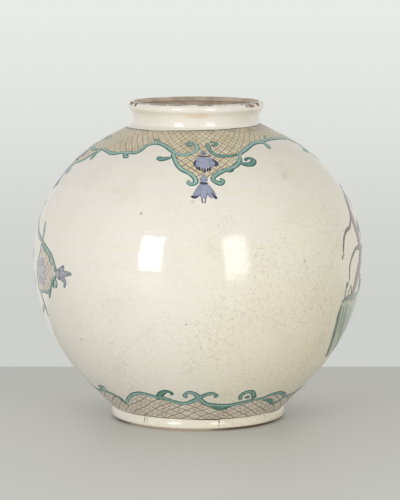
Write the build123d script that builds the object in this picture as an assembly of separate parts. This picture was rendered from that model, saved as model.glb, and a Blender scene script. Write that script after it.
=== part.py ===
"""A wide glazed stoneware jar with a short neck and a rolled lip.

It is built as a potter builds one: a bowl and a shoulder thrown apart and luted at the
belly, a collar luted into the shoulder, a foot ring luted under the bowl, a bead of slip
that seals the belly seam inside, and a coat of glaze over the outside.

Millimetres. Z is up, the origin is the centre of the circle that the foot stands on.
Every section is drawn as radius and height, and turned about Z.
"""
import os
from math import acos, asin, cos, degrees, radians, sin, sqrt

from build123d import *

# Overall sizes, measured over the glaze
jar_height = 289.0
body_radius = 150.0
belly_height = 148.0
glaze_thickness = 0.8

# Shape of the clay's outline. Each half is a chain of tangent arcs from the belly outwards: how large
# each arc's radius is beside the first one's, and how far it turns beside the others. No half turns
# further than turn_limit, in degrees.
shoulder_curve = [(1.0, 24.0), (1.2, 37.5), (8.2, 1.85)]
bowl_curve = [(1.0, 44.0), (5.7, 2.55)]
turn_limit = 120.0
body_wall = 7.0
floor_thickness = 9.5
floor_fillet = 14.0

# Foot ring
foot_height = 10.5
foot_radius = 78.7
foot_belly_height = 5.4
foot_joint_inset = 2.05
foot_bevel_width = 3.1
foot_bevel_height = 1.6
foot_rest_width = 9.8
foot_hollow_draft = 2.2
foot_tongue_inset = 4.4
foot_tongue_width = 4.0
foot_tongue_height = 2.0
glaze_line_height = 2.6

# Collar and lip
throat_radius = 51.5
throat_top_drop = 5.0
collar_wall = 4.4
collar_cove_flare = 0.8
collar_cove_rise = 4.1
lip_sweep_radius = 14.8
lip_roll_radius = 3.5
lip_overhang = 1.5
collar_spigot_wall = 2.6
collar_spigot_depth = 3.5

# Belly seam
seam_rabbet_height = 3.0
slip_depth = 2.4
slip_curve_radius = 24.0

# Worked out from the sizes above
clay_radius = body_radius - glaze_thickness
inner_radius = clay_radius - body_wall
floor_height = foot_height + floor_thickness
overlap = 1.0

foot_joint = (foot_radius - foot_joint_inset, foot_height)
foot_rest_outer_radius = foot_radius - foot_bevel_width
foot_rest_inner_radius = foot_rest_outer_radius - foot_rest_width
foot_tongue_inner_radius = foot_rest_inner_radius + foot_tongue_inset

# The lip's roll and the sweep below it are tangent, which sets how far the waist lies under the roll.
waist_radius = throat_radius + collar_wall
lip_centre_radius = waist_radius + lip_overhang
lip_centre_height = jar_height - glaze_thickness - lip_roll_radius
sweep_centre_radius = waist_radius + lip_sweep_radius
sweep_drop = sqrt((lip_sweep_radius + lip_roll_radius) ** 2 - (sweep_centre_radius - lip_centre_radius) ** 2)
waist_height = lip_centre_height - sweep_drop
collar_joint = (waist_radius + collar_cove_flare, waist_height - collar_cove_rise)


def chain_reach(curve, stretch):
    """How far inwards and how far along a chain of arcs comes, with a first radius of 1.

    The chain starts along the jar's axis, and each turn is multiplied by stretch.
    """
    inwards = 0.0
    along = 0.0
    angle = 0.0
    for radius, turn in curve:
        end = angle + radians(turn * stretch)
        inwards += radius * (cos(angle) - cos(end))
        along += radius * (sin(end) - sin(angle))
        angle = end
    return (inwards, along)


def fitted_arcs(curve, inwards, along):
    """Radius and turn in degrees of each arc of a chain, drawn to end inwards and along from its start."""
    low = 0.0
    high = turn_limit / sum(turn for radius, turn in curve)
    while high - low > 1e-12:
        stretch = (low + high) / 2
        reach = chain_reach(curve, stretch)
        if reach[0] * along < inwards * reach[1]:
            low = stretch
        else:
            high = stretch
    scale = along / reach[1]
    return [(radius * scale, turn * stretch) for radius, turn in curve]


# Both halves start upright at the belly. One ends where the collar stands, the other where the foot does.
shoulder_arcs = fitted_arcs(shoulder_curve, clay_radius - collar_joint[0], collar_joint[1] - belly_height)
bowl_arcs = fitted_arcs(bowl_curve, clay_radius - foot_joint[0], belly_height - foot_joint[1])


def arc_run(side):
    """Centre radius, centre height, radius and start angle of each arc of one half of the body.

    side is 1 for the shoulder, above the belly line, and -1 for the bowl below it.
    """
    arcs = shoulder_arcs if side > 0 else bowl_arcs
    centre_r = clay_radius
    centre_z = belly_height
    previous = 0.0
    angle = 0.0
    run = []
    for radius, turn in arcs:
        centre_r += (previous - radius) * cos(angle)
        centre_z += side * (previous - radius) * sin(angle)
        run.append((centre_r, centre_z, radius, angle))
        previous = radius
        angle += radians(turn)
    return run


def end_angle(side, outset, radius=None, height=None):
    """Angle on the last arc at which it comes to a radius or to a height."""
    centre_r, centre_z, arc_radius, start = arc_run(side)[-1]
    if radius is not None:
        return acos((radius - centre_r) / (arc_radius + outset))
    return asin(side * (height - centre_z) / (arc_radius + outset))


def end_point(side, outset, angle):
    """Radius and height of the point at an angle on the last arc."""
    centre_r, centre_z, radius, start = arc_run(side)[-1]
    reach = radius + outset
    return (centre_r + reach * cos(angle), centre_z + side * reach * sin(angle))


def half_outline(side, outset, last_angle):
    """The arcs of one half, moved outwards by outset, from the belly to an angle on the last one."""
    run = arc_run(side)
    ends = [start for *_, start in run[1:]] + [last_angle]
    edges = []
    for (centre_r, centre_z, radius, start), end in zip(run, ends):
        arc = CenterArc((centre_r, centre_z), radius + outset, side * degrees(start), side * degrees(end - start))
        edges.append(arc)
    return edges


def body_form(outset, bottom_height):
    """Everything inside the body's outline, from a height at the bottom up to the throat."""
    top_angle = end_angle(1, outset, radius=throat_radius)
    bottom_angle = end_angle(-1, outset, height=bottom_height)
    top = end_point(1, outset, top_angle)
    bottom = end_point(-1, outset, bottom_angle)
    edges = half_outline(1, outset, top_angle) + half_outline(-1, outset, bottom_angle)
    edges.append(Line(top, (0, top[1])))
    edges.append(Line((0, top[1]), (0, bottom[1])))
    edges.append(Line((0, bottom[1]), bottom))
    return make_face(edges)


def outline_form(points_and_edges):
    """A closed face from edges in order, with straight lines where one doesn't meet the next."""
    edges = []
    first = points_and_edges[0]
    here = first
    for item in points_and_edges[1:]:
        if isinstance(item, tuple):
            edges.append(Line(here, item))
            here = item
        else:
            edges.append(item)
            here = (item.position_at(1).X, item.position_at(1).Y)
    edges.append(Line(here, first))
    return make_face(edges)


def band(inner, outer, low, high):
    """A rectangle between two radii and two heights."""
    return Pos((inner + outer) / 2, (low + high) / 2) * Rectangle(outer - inner, high - low)


def flare_radius(rise, run):
    """Radius of the arc that starts upright and drifts sideways by run over a height of rise."""
    return (rise ** 2 + run ** 2) / (2 * run)


# The foot's outer face is one arc that is upright at foot_belly_height and ends at the joint with the bowl.
foot_face_radius = flare_radius(foot_height - foot_belly_height, foot_joint_inset)
foot_face_centre = (foot_radius - foot_face_radius, foot_belly_height)

# The collar's cove is upright at the waist and ends at the joint with the shoulder.
lip_turn = degrees(asin(sweep_drop / (lip_sweep_radius + lip_roll_radius)))
collar_cove_radius = flare_radius(collar_cove_rise, collar_cove_flare)
collar_cove_turn = degrees(asin(collar_cove_rise / collar_cove_radius))


def foot_face(outset, low):
    """The foot's outer arc, from a height up to the joint with the bowl."""
    radius = foot_face_radius + outset
    start = degrees(asin((low - foot_belly_height) / radius))
    end = degrees(asin((foot_height - foot_belly_height) / foot_face_radius))
    return CenterArc(foot_face_centre, radius, start, end - start)


def foot_form(outset, low):
    """Everything inside the foot's outline, with its outer arc from a height upwards."""
    face = foot_face(outset, low)
    start = (face.position_at(0).X, face.position_at(0).Y)
    end = (face.position_at(1).X, face.position_at(1).Y)
    top = end[1] + overlap
    return outline_form([(0, low), start, face, (end[0], top), (0, top)])


def foot_bevel():
    """The bevel that runs in from the foot's outer arc to the circle that it stands on."""
    start = foot_face(0, foot_bevel_height).position_at(0)
    return outline_form([(0, 0), (foot_rest_outer_radius, 0), (start.X, start.Y), (0, start.Y)])


def collar_form(outset):
    """Everything inside the collar's outline: a cove, the sweep up to the lip, and the lip's roll."""
    cove_centre = (waist_radius + collar_cove_radius, waist_height)
    sweep_centre = (sweep_centre_radius, waist_height)
    lip_centre = (lip_centre_radius, lip_centre_height)
    cove = CenterArc(cove_centre, collar_cove_radius - outset, 180 + collar_cove_turn, -collar_cove_turn)
    sweep = CenterArc(sweep_centre, lip_sweep_radius - outset, 180, -lip_turn)
    roll = CenterArc(lip_centre, lip_roll_radius + outset, -lip_turn, 180 + lip_turn)
    start = (cove.position_at(0).X, cove.position_at(0).Y)
    low = start[1] - overlap
    return outline_form([(0, low), (start[0], low), start, cove, sweep, roll, (0, lip_centre_height)])


def cavity_form():
    """The hollow inside the walls, with a rounded corner between wall and floor."""
    hollow = body_form(-body_wall, floor_height)
    corner = hollow.vertices().filter_by(lambda v: abs(v.Y - floor_height) < 0.01).sort_by(Axis.X)[-1]
    return fillet(corner, floor_fillet)


def throat_form():
    """The mouth: a straight throat that opens to the inside of the lip."""
    throat_top = lip_centre_height - throat_top_drop
    mouth_radius = lip_centre_radius - lip_roll_radius
    low = collar_joint[1] - body_wall * 2
    points = [(0, low), (throat_radius, low), (throat_radius, throat_top), (mouth_radius, lip_centre_height)]
    return outline_form(points + [(0, lip_centre_height)])


def foot_hollow():
    """The recess under the base, inside the foot ring."""
    top = foot_rest_inner_radius + foot_hollow_draft
    return outline_form([(0, 0), (foot_rest_inner_radius, 0), (top, foot_height), (0, foot_height)])


def turned(section):
    """The solid that a section in radius and height makes about the jar's axis."""
    return revolve(Plane.XZ * section, Axis.Z)


outside = (
    body_form(0, foot_height - overlap)
    + foot_form(0, foot_bevel_height)
    + foot_bevel()
    + collar_form(0)
)
clay = outside - cavity_form() - throat_form() - foot_hollow()

reach = body_radius + overlap
foot_zone = band(0, reach, 0, foot_height) + band(
    foot_tongue_inner_radius,
    foot_tongue_inner_radius + foot_tongue_width,
    foot_height,
    foot_height + foot_tongue_height,
)
bowl_zone = band(0, reach, 0, belly_height) + band(
    0, clay_radius - body_wall / 2, belly_height, belly_height + seam_rabbet_height
)
spigot_radius = throat_radius + collar_spigot_wall
collar_zone = band(0, reach, collar_joint[1], jar_height) + band(
    0, spigot_radius, collar_joint[1] - collar_spigot_depth, collar_joint[1]
)

foot_ring = turned(clay & foot_zone)
lower_body = turned((clay & bowl_zone) - foot_zone)
upper_body = turned(clay - bowl_zone - collar_zone)
neck_collar = turned(clay & collar_zone)

slip_centre = (inner_radius + slip_curve_radius - slip_depth, belly_height + seam_rabbet_height / 2)
seam_slip = turned((Pos(*slip_centre) * Circle(slip_curve_radius)) & cavity_form())

coated = (
    body_form(glaze_thickness, foot_height - overlap)
    + foot_form(glaze_thickness, glaze_line_height)
    + collar_form(glaze_thickness)
)
glaze_coat = turned(coated - outside)

os.makedirs("parts", exist_ok=True)
nodes = {
    "foot_ring": foot_ring,
    "lower_body": lower_body,
    "upper_body": upper_body,
    "neck_collar": neck_collar,
    "seam_slip": seam_slip,
    "glaze_coat": glaze_coat,
}
for name, node in nodes.items():
    export_step(node, f"parts/{name}.step")
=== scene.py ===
"""A round storage jar in crackled ivory glaze, painted with enamels, on a plain pale slab.

Metres, Z up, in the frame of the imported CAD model. The jar's walls are sections in radius and
height carried round its axis. Every painted shape is a brush stroke: a lens-shaped section carried
along a path on the glaze. A place on the jar is an azimuth in degrees, 0 at the front and positive
to the right, and a distance down the glaze from the joint between collar and shoulder.
"""
from math import acos, asin, cos, pi, radians, sin, sqrt

import bpy
import numpy as np
from bpy.props import FloatProperty, FloatVectorProperty, IntProperty, PointerProperty
from bpy.types import Operator, Panel, PropertyGroup
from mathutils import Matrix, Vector


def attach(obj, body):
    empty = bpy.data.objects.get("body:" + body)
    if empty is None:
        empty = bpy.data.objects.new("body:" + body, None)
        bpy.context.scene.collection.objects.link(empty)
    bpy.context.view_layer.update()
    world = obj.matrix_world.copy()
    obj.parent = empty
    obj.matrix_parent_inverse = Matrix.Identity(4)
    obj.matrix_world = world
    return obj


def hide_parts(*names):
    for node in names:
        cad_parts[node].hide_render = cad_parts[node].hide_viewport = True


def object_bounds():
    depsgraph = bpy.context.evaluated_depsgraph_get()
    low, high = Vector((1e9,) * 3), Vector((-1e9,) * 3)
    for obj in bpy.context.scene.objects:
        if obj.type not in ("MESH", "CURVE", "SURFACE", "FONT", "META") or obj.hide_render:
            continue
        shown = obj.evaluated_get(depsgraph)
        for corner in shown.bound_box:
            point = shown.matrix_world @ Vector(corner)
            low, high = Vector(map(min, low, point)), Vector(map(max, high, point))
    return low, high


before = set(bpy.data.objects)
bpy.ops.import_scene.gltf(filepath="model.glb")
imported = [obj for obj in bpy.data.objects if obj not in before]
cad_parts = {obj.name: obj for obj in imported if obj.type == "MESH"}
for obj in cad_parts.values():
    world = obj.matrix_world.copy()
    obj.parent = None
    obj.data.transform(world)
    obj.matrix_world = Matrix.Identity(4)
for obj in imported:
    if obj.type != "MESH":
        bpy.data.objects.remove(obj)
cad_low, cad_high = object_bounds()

bl_info = {
    "name": "Enamelled storage jar",
    "version": (1, 0, 0),
    "blender": (4, 2, 0),
    "location": "View3D > Sidebar > Jar",
    "description": "Builds a round storage jar in crackled glaze with painted borders",
    "category": "Add Mesh",
}

mm = 0.001

# Shape of the clay's outline. Each half is a chain of tangent arcs from the belly outwards: how large
# each arc's radius is beside the first one's, and how far it turns beside the others, in degrees.
shoulder_curve = [(1.0, 24.0), (1.2, 37.5), (8.2, 1.85)]
bowl_curve = [(1.0, 44.0), (5.7, 2.55)]
turn_limit = 120.0
# How much further the hollow's last arcs run than the outside's: they are cut at throat and floor
inside_run_on = (radians(12), radians(6))

# Spacing of the points that sections are worked out at, and of the rows and columns of the meshes
fine_step = 0.2 * mm
body_row_step = 2.1 * mm
turn_per_row = radians(7.5)
skin_columns = 300
clay_columns = 192

# Handwork that the CAD model leaves out: all of it lies inside the true circle
rest_inset = 0.45 * mm
ovalness = 0.35 * mm
throwing_ripple = 0.045 * mm
inner_ridge = 0.35 * mm
ridge_pitch = 9.5 * mm
# The body's handwork begins at the first height and grows over the second, and it fades over the
# fourth, up to the third
handwork_heights = (12 * mm, 20 * mm, 255 * mm, 30 * mm)
# The neck's lean begins at the first height and grows over the second
lean_heights = (190 * mm, 85 * mm)

# Clay: the angle from which an edge stays crisp, the radius at which floor and base end beside the
# axis, how softly the floor turns into the wall, and how deep the slip's back lies in the wall
crisp_edge = radians(32)
axis_gap = 2 * mm
floor_corner = 5 * mm
slip_sink = 0.3 * mm

# Lamps: name, azimuth and elevation in degrees, width and height in metres
stage_lamps = [("left_lamp", -32, 12.3, 0.56, 1.06), ("right_lamp", 25.5, 8.7, 0.56, 1.38)]

# Camera: its place, how far it looks down in degrees, its lens in millimetres and its sideways shift
camera_place = (0.0, -2.208, 0.439)
camera_tilt = 7.39
camera_lens = 175.7
camera_shift = 0.004

# Enamel
enamel_height = 0.3 * mm
enamel_sink = 0.12 * mm
ground_height = 0.1 * mm
line_height = 0.15 * mm
stroke_step = 0.9 * mm
# How deep a stroke's edges lie in the glaze, and the half width below which a stroke gets lower
edge_sink = 0.02 * mm
full_half_width = 0.6 * mm
# A stroke's least breadth, and how much and over what length its breadth wavers
least_breadth = 0.2 * mm
brush_waver = (0.06, 3.1 * mm)

# Chips in the lip: azimuth, spread in degrees, depth
lip_chips = [(53.0, 7.0, 1.0 * mm), (66.0, 3.0, 1.3 * mm), (-78.0, 9.0, 0.7 * mm),
             (-64.0, 2.5, 0.9 * mm), (131.0, 6.0, 0.8 * mm), (-150.0, 4.0, 0.7 * mm)]
# Angles about the middle of the lip's roll, in degrees up from straight out: where the brown inside
# the mouth begins, a wash that is also painted shade of the mouth's inside, and how far that wanders
# and blurs, and the middle and the spread of the worn rim and of the chips
mouth_shade_begins = (98, 10, 24)
worn_rim = (64, 10)
chipped_rim = (50, 45)
# Chips this deep show the bare clay in full
bare_depth = 1.1 * mm


class JarSizes(PropertyGroup):
    """Sizes of the jar, with the CAD model's own as defaults."""

    jar_height: FloatProperty(
        name="Height", description="From the table to the top of the lip",
        default=cad_high.z, unit="LENGTH")
    body_radius: FloatProperty(
        name="Body radius", description="Half the width of the belly", default=0.150, unit="LENGTH")
    belly_height: FloatProperty(
        name="Belly height", description="Height of the widest circle", default=0.148, unit="LENGTH")
    glaze_thickness: FloatProperty(
        name="Glaze thickness", description="Thickness of the glaze coat",
        default=0.8 * mm, unit="LENGTH")
    body_wall: FloatProperty(
        name="Wall", description="Thickness of the thrown clay", default=7 * mm, unit="LENGTH")
    floor_height: FloatProperty(
        name="Floor height", description="Height of the floor inside", default=20 * mm, unit="LENGTH")
    throat_radius: FloatProperty(
        name="Throat radius", description="Radius of the mouth's bore", default=51.5 * mm, unit="LENGTH")
    throat_top_drop: FloatProperty(
        name="Throat top", description="How far the bore ends below the lip's roll",
        default=5 * mm, unit="LENGTH")
    collar_wall: FloatProperty(
        name="Collar wall", description="Thickness of the collar at its waist",
        default=4.4 * mm, unit="LENGTH")
    collar_cove_flare: FloatProperty(
        name="Cove flare", description="How far the collar spreads below its waist",
        default=0.8 * mm, unit="LENGTH")
    collar_cove_rise: FloatProperty(
        name="Cove rise", description="From the collar's joint to its waist",
        default=4.1 * mm, unit="LENGTH")
    lip_sweep_radius: FloatProperty(
        name="Lip sweep", description="Radius of the hollow under the lip",
        default=14.8 * mm, unit="LENGTH")
    lip_roll_radius: FloatProperty(
        name="Lip roll", description="Radius of the rolled lip, in the clay",
        default=3.5 * mm, unit="LENGTH")
    lip_overhang: FloatProperty(
        name="Lip overhang", description="How far the roll's middle stands out past the waist",
        default=1.5 * mm, unit="LENGTH")
    foot_radius: FloatProperty(
        name="Foot radius", description="Largest radius of the foot ring",
        default=78.7 * mm, unit="LENGTH")
    foot_height: FloatProperty(
        name="Foot height", description="Height of the foot ring", default=10.5 * mm, unit="LENGTH")
    foot_belly_height: FloatProperty(
        name="Foot belly", description="Height of the foot's largest circle",
        default=5.4 * mm, unit="LENGTH")
    foot_joint_inset: FloatProperty(
        name="Foot inset", description="How far the foot's top lies inside its largest circle",
        default=2.05 * mm, unit="LENGTH")
    foot_bevel_width: FloatProperty(
        name="Foot bevel width", description="Width of the bevel under the foot",
        default=3.1 * mm, unit="LENGTH")
    foot_bevel_height: FloatProperty(
        name="Foot bevel height", description="Height of the bevel", default=1.6 * mm, unit="LENGTH")
    foot_rest_width: FloatProperty(
        name="Foot rest width", description="Width of the flat that the jar stands on",
        default=9.8 * mm, unit="LENGTH")
    foot_hollow_draft: FloatProperty(
        name="Foot hollow draft", description="How far the foot's hollow widens upwards",
        default=2.2 * mm, unit="LENGTH")
    glaze_line: FloatProperty(
        name="Glaze line", description="Height at which the glaze ends on the foot",
        default=2.6 * mm, unit="LENGTH")
    crease_softness: FloatProperty(
        name="Crease softness", description="How far the glaze pools in a crease",
        default=1 * mm, unit="LENGTH")
    neck_lean: FloatProperty(
        name="Neck lean", description="How far the neck leans to the left",
        default=1.5 * mm, unit="LENGTH")


class JarColours(PropertyGroup):
    """Colours of the clay, the glaze and the enamels."""

    ivory: FloatVectorProperty(
        name="Ivory", description="Main colour of the glaze", subtype="COLOR",
        default=(0.815, 0.775, 0.70))
    honey: FloatVectorProperty(
        name="Honey", description="Colour of the glaze where it is yellower", subtype="COLOR",
        default=(0.80, 0.74, 0.545))
    crackle: FloatVectorProperty(
        name="Crackle", description="Colour of the stained crackle", subtype="COLOR",
        default=(0.30, 0.22, 0.14))
    clay: FloatVectorProperty(
        name="Clay", description="Colour of the bare clay", subtype="COLOR", default=(0.60, 0.49, 0.38))
    # Besides the iron wash, this colour is painted shade inside the mouth, on the lip's inside and in the
    # throat.
    iron: FloatVectorProperty(
        name="Iron wash", description="Colour of the wash inside the mouth", subtype="COLOR",
        default=(0.40, 0.31, 0.23))
    mint: FloatVectorProperty(
        name="Mint", description="Core of the green scrolls", subtype="COLOR",
        default=(0.40, 0.58, 0.53))
    teal: FloatVectorProperty(
        name="Teal", description="Edges of the green scrolls", subtype="COLOR",
        default=(0.03, 0.125, 0.105))
    leaf: FloatVectorProperty(
        name="Leaf", description="The darkest leaves", subtype="COLOR", default=(0.035, 0.17, 0.12))
    lavender: FloatVectorProperty(
        name="Lavender", description="Core of the blossoms", subtype="COLOR",
        default=(0.36, 0.385, 0.50))
    indigo: FloatVectorProperty(
        name="Indigo", description="Edges and tips of the blossoms", subtype="COLOR",
        default=(0.055, 0.06, 0.13))
    lattice_ground: FloatVectorProperty(
        name="Lattice ground", description="Ground of the shoulder's lattice", subtype="COLOR",
        default=(0.74, 0.67, 0.49))
    foot_ground: FloatVectorProperty(
        name="Foot ground", description="Ground of the foot's lattice", subtype="COLOR",
        default=(0.76, 0.70, 0.61))
    lattice_line: FloatVectorProperty(
        name="Lattice line", description="Lines of the lattice", subtype="COLOR",
        default=(0.21, 0.15, 0.115))
    brush_line: FloatVectorProperty(
        name="Brush line", description="Lines round the neck and the foot", subtype="COLOR",
        default=(0.10, 0.095, 0.08))
    bark: FloatVectorProperty(
        name="Bark", description="Branches of the tree", subtype="COLOR", default=(0.35, 0.30, 0.275))
    grass: FloatVectorProperty(
        name="Grass", description="The mound under the tree", subtype="COLOR",
        default=(0.36, 0.46, 0.37))
    moss: FloatVectorProperty(
        name="Moss", description="The wash under the grass", subtype="COLOR", default=(0.50, 0.52, 0.40))


class StageSettings(PropertyGroup):
    """The slab, the backdrop and the lamps."""

    slab_colour: FloatVectorProperty(
        name="Slab", description="Colour of the slab", subtype="COLOR", default=(0.68, 0.685, 0.65))
    slab_back: FloatProperty(
        name="Slab back", description="From the jar's axis to the slab's back edge",
        default=0.25, unit="LENGTH")
    lamp_distance: FloatProperty(
        name="Lamp distance", description="From the jar to each lamp", default=2.0, unit="LENGTH")
    lamp_power: FloatProperty(
        name="Lamp power", description="Power of each lamp, in watts", default=14.0)
    fill_level: FloatProperty(
        name="Fill level", description="Brightness of the room's light", default=0.37)
    side_level: FloatProperty(
        name="Side light", description="How much brighter the room is to the left and right",
        default=0.30)
    back_level: FloatProperty(
        name="Back light", description="How much brighter the room is behind the jar", default=0.42)


# Section of the jar


def chain_reach(curve, stretch):
    """How far inwards and how far along a chain of arcs comes, with a first radius of 1.

    The chain starts along the jar's axis, and each turn is multiplied by stretch.
    """
    inwards = 0.0
    along = 0.0
    angle = 0.0
    for radius, turn in curve:
        end = angle + radians(turn * stretch)
        inwards += radius * (cos(angle) - cos(end))
        along += radius * (sin(end) - sin(angle))
        angle = end
    return inwards, along


def fitted_arcs(curve, inwards, along):
    """Radius and turn, in radians, of each arc of a chain that ends inwards and along from its start.

    All turns are stretched alike. The stretch is found by halving, until the chain's reach has the
    slope asked for, and then the radii are scaled to its length.
    """
    low = 0.0
    high = turn_limit / sum(turn for radius, turn in curve)
    while high - low > 1e-12:
        stretch = (low + high) / 2
        reach = chain_reach(curve, stretch)
        if reach[0] * along < inwards * reach[1]:
            low = stretch
        else:
            high = stretch
    scale = along / reach[1]
    return [(radius * scale, radians(turn * stretch)) for radius, turn in curve]


def arc_line(centre, radius, start, end):
    """Points along an arc from one angle to another, in radius and height."""
    angle = np.linspace(start, end, int(abs(end - start) * radius / fine_step) + 2)
    return np.column_stack((centre[0] + radius * np.cos(angle), centre[1] + radius * np.sin(angle)))


def chain_line(start, arcs, side, outset=0.0, run_on=0.0):
    """Points along a chain of tangent arcs from the belly, upwards if side is 1 and downwards if -1.

    Each centre lies on the line from the last centre to the end of the last arc.
    """
    centre = np.array(start, float)
    previous = 0.0
    angle = 0.0
    lines = []
    for number, (radius, turn) in enumerate(arcs):
        centre += (previous - radius) * np.array((cos(angle), side * sin(angle)))
        turn += run_on if number == len(arcs) - 1 else 0.0
        lines.append(arc_line(centre, radius + outset, side * angle, side * (angle + turn)))
        previous = radius
        angle += turn
    return np.vstack(lines)


def evenly(path):
    """The same path with points every fine_step."""
    step = np.hypot(*np.diff(path, axis=0).T)
    path = path[np.concatenate(([True], step > 1e-9))]
    length = np.concatenate(([0.0], np.cumsum(np.hypot(*np.diff(path, axis=0).T))))
    at = np.arange(0.0, length[-1], fine_step)
    return np.column_stack([np.interp(at, length, path[:, k]) for k in (0, 1)])


def softened(path, creases, softness):
    """The path with each crease rounded: near it, a point is a Gaussian mean of its neighbours."""
    reach = int(4 * softness / fine_step)
    offset = np.arange(-reach, reach + 1) * fine_step
    weight = np.exp(-0.5 * (offset / softness) ** 2)
    weight /= weight.sum()
    padded = np.pad(path, ((reach, reach), (0, 0)), mode="edge")
    mean = np.column_stack([np.convolve(padded[:, k], weight, mode="valid") for k in (0, 1)])
    number = np.arange(len(path))
    result = path.copy()
    for crease in creases:
        nearest = np.argmin(np.hypot(*(path - crease).T))
        share = np.exp(-(((number - nearest) * fine_step) / (3 * softness)) ** 4)[:, None]
        result = result * (1 - share) + mean * share
    return result


def outward(path):
    """Unit normals of a path down the jar's outside: its direction turned by a right angle."""
    run = np.gradient(path, axis=0)
    run /= np.linalg.norm(run, axis=1)[:, None]
    return np.column_stack((-run[:, 1], run[:, 0]))


def jar_section(sizes):
    """Every line of the jar's section, in radius and height, and the glazed surface as a table.

    The waist is the collar's narrowest place. Above it an arc sweeps out to the rolled lip, and
    below it a cove runs out to the shoulder. The glaze lies on the clay along its normals, and at
    both of its ends it thins out on a quarter circle.
    """
    clay_radius = sizes.body_radius - sizes.glaze_thickness
    waist = sizes.throat_radius + sizes.collar_wall
    roll = sizes.lip_roll_radius
    sweep = sizes.lip_sweep_radius
    lip = (waist + sizes.lip_overhang, sizes.jar_height - sizes.glaze_thickness - roll)
    drop = sqrt((sweep + roll) ** 2 - (sweep - sizes.lip_overhang) ** 2)
    waist_height = lip[1] - drop
    lip_turn = asin(drop / (sweep + roll))
    rise = sizes.collar_cove_rise
    flare = sizes.collar_cove_flare
    cove = (rise ** 2 + flare ** 2) / (2 * flare)
    joint = (waist + flare, waist_height - rise)
    foot_joint = (sizes.foot_radius - sizes.foot_joint_inset, sizes.foot_height)
    belly = (clay_radius, sizes.belly_height)
    shoulder = fitted_arcs(shoulder_curve, clay_radius - joint[0], joint[1] - belly[1])
    bowl = fitted_arcs(bowl_curve, clay_radius - foot_joint[0], belly[1] - foot_joint[1])
    foot_rise = sizes.foot_height - sizes.foot_belly_height
    foot_arc = (foot_rise ** 2 + sizes.foot_joint_inset ** 2) / (2 * sizes.foot_joint_inset)
    foot_centre = (sizes.foot_radius - foot_arc, sizes.foot_belly_height)
    collar_line = np.vstack((
        arc_line(lip, roll, pi, -lip_turn),
        arc_line((waist + sweep, waist_height), sweep, pi - lip_turn, pi),
        arc_line((waist + cove, waist_height), cove, pi, pi + asin(rise / cove)),
    ))
    shoulder_line = chain_line(belly, shoulder, 1)[::-1]
    bowl_line = chain_line(belly, bowl, -1)
    foot_line = arc_line(foot_centre, foot_arc, asin(foot_rise / foot_arc),
                         asin((sizes.foot_bevel_height - sizes.foot_belly_height) / foot_arc))
    path = evenly(np.vstack((collar_line, shoulder_line, bowl_line, foot_line)))
    path = softened(path, [joint, foot_joint], sizes.crease_softness)
    normal = outward(path)
    glazed = path[:, 1] > sizes.glaze_line
    path = path[glazed]
    normal = normal[glazed]
    length = np.arange(len(path)) * fine_step
    to_end = np.minimum(length, length[-1] - length)
    edge = np.clip(to_end / sizes.glaze_thickness, 0, 1)
    coat = path + normal * (sizes.glaze_thickness * np.sqrt(1 - (1 - edge) ** 2))[:, None]
    run = np.concatenate(([0.0], np.cumsum(np.hypot(*np.diff(coat, axis=0).T))))
    start = np.argmin(np.hypot(*(path - joint).T))
    return {
        "clay": path,
        "coat": coat,
        "normal": normal,
        "down": run - run[start],
        "collar": collar_line,
        "shoulder": shoulder_line,
        "bowl": bowl_line,
        "foot": foot_line,
        "shoulder_inside": chain_line(belly, shoulder, 1, -sizes.body_wall, inside_run_on[0]),
        "bowl_inside": chain_line(belly, bowl, -1, -sizes.body_wall, inside_run_on[1]),
        "lip": lip,
        "joint": joint,
    }


def rows_along(path, step, turn):
    """Numbers of the points of a path where a mesh gets a row: every step, and more where it turns."""
    run = np.diff(path, axis=0)
    heading = np.unwrap(np.arctan2(run[:, 1], run[:, 0]))
    need = np.hypot(*run.T) / step + np.abs(np.gradient(heading)) / turn
    total = np.concatenate(([0.0], np.cumsum(need)))
    count = int(total[-1]) + 2
    rows = np.interp(np.linspace(0, total[-1], count), total, np.arange(len(path)))
    return np.unique(np.round(rows).astype(int))


def settled(sizes, radius, height, azimuth):
    """Places in space of points given by radius, height and azimuth, with the potter's handwork.

    The body is drawn in a little, more at some azimuths than at others, with fine rings from the
    throwing. The neck leans to the left, and the chips in the lip fall back along its roll.
    """
    turn = np.radians(azimuth)
    low, low_span, high, high_span = handwork_heights
    body = np.clip((height - low) / low_span, 0, 1) * np.clip((high - height) / high_span, 0, 1)
    body = body * body * (3 - 2 * body)
    rings = np.sin(2 * pi * height / (8.7 * mm) + 1.3 * np.sin(turn + 1)) * 0.65
    rings += np.sin(2 * pi * height / (5.3 * mm) + 1.9 * np.cos(2 * turn)) * 0.35
    inwards = rest_inset + ovalness * (0.5 + 0.5 * np.cos(2 * turn + 0.7)) + throwing_ripple * rings
    radius = radius - body * inwards
    lip_height = sizes.jar_height - sizes.glaze_thickness - sizes.lip_roll_radius
    lip_radius = sizes.throat_radius + sizes.collar_wall + sizes.lip_overhang
    out = radius - lip_radius
    up = height - lip_height
    reach = np.hypot(out, up) + 1e-9
    on_roll = np.clip((up + 1 * mm) / (3 * mm), 0, 1) * np.clip((out + 1.5 * mm) / (3 * mm), 0, 1)
    dent = np.zeros_like(turn + radius)
    for centre, spread, depth in lip_chips:
        away = (azimuth - centre + 180) % 360 - 180
        dent = np.maximum(dent, depth * np.exp(-(away / spread) ** 4))
    dent = dent * on_roll
    radius = radius - dent * out / reach
    height = height - dent * up / reach
    lean = np.clip((height - lean_heights[0]) / lean_heights[1], 0, 1)
    lean = sizes.neck_lean * lean * lean * (3 - 2 * lean)
    return np.stack((radius * np.sin(turn) - lean, -radius * np.cos(turn), height), axis=-1)


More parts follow.
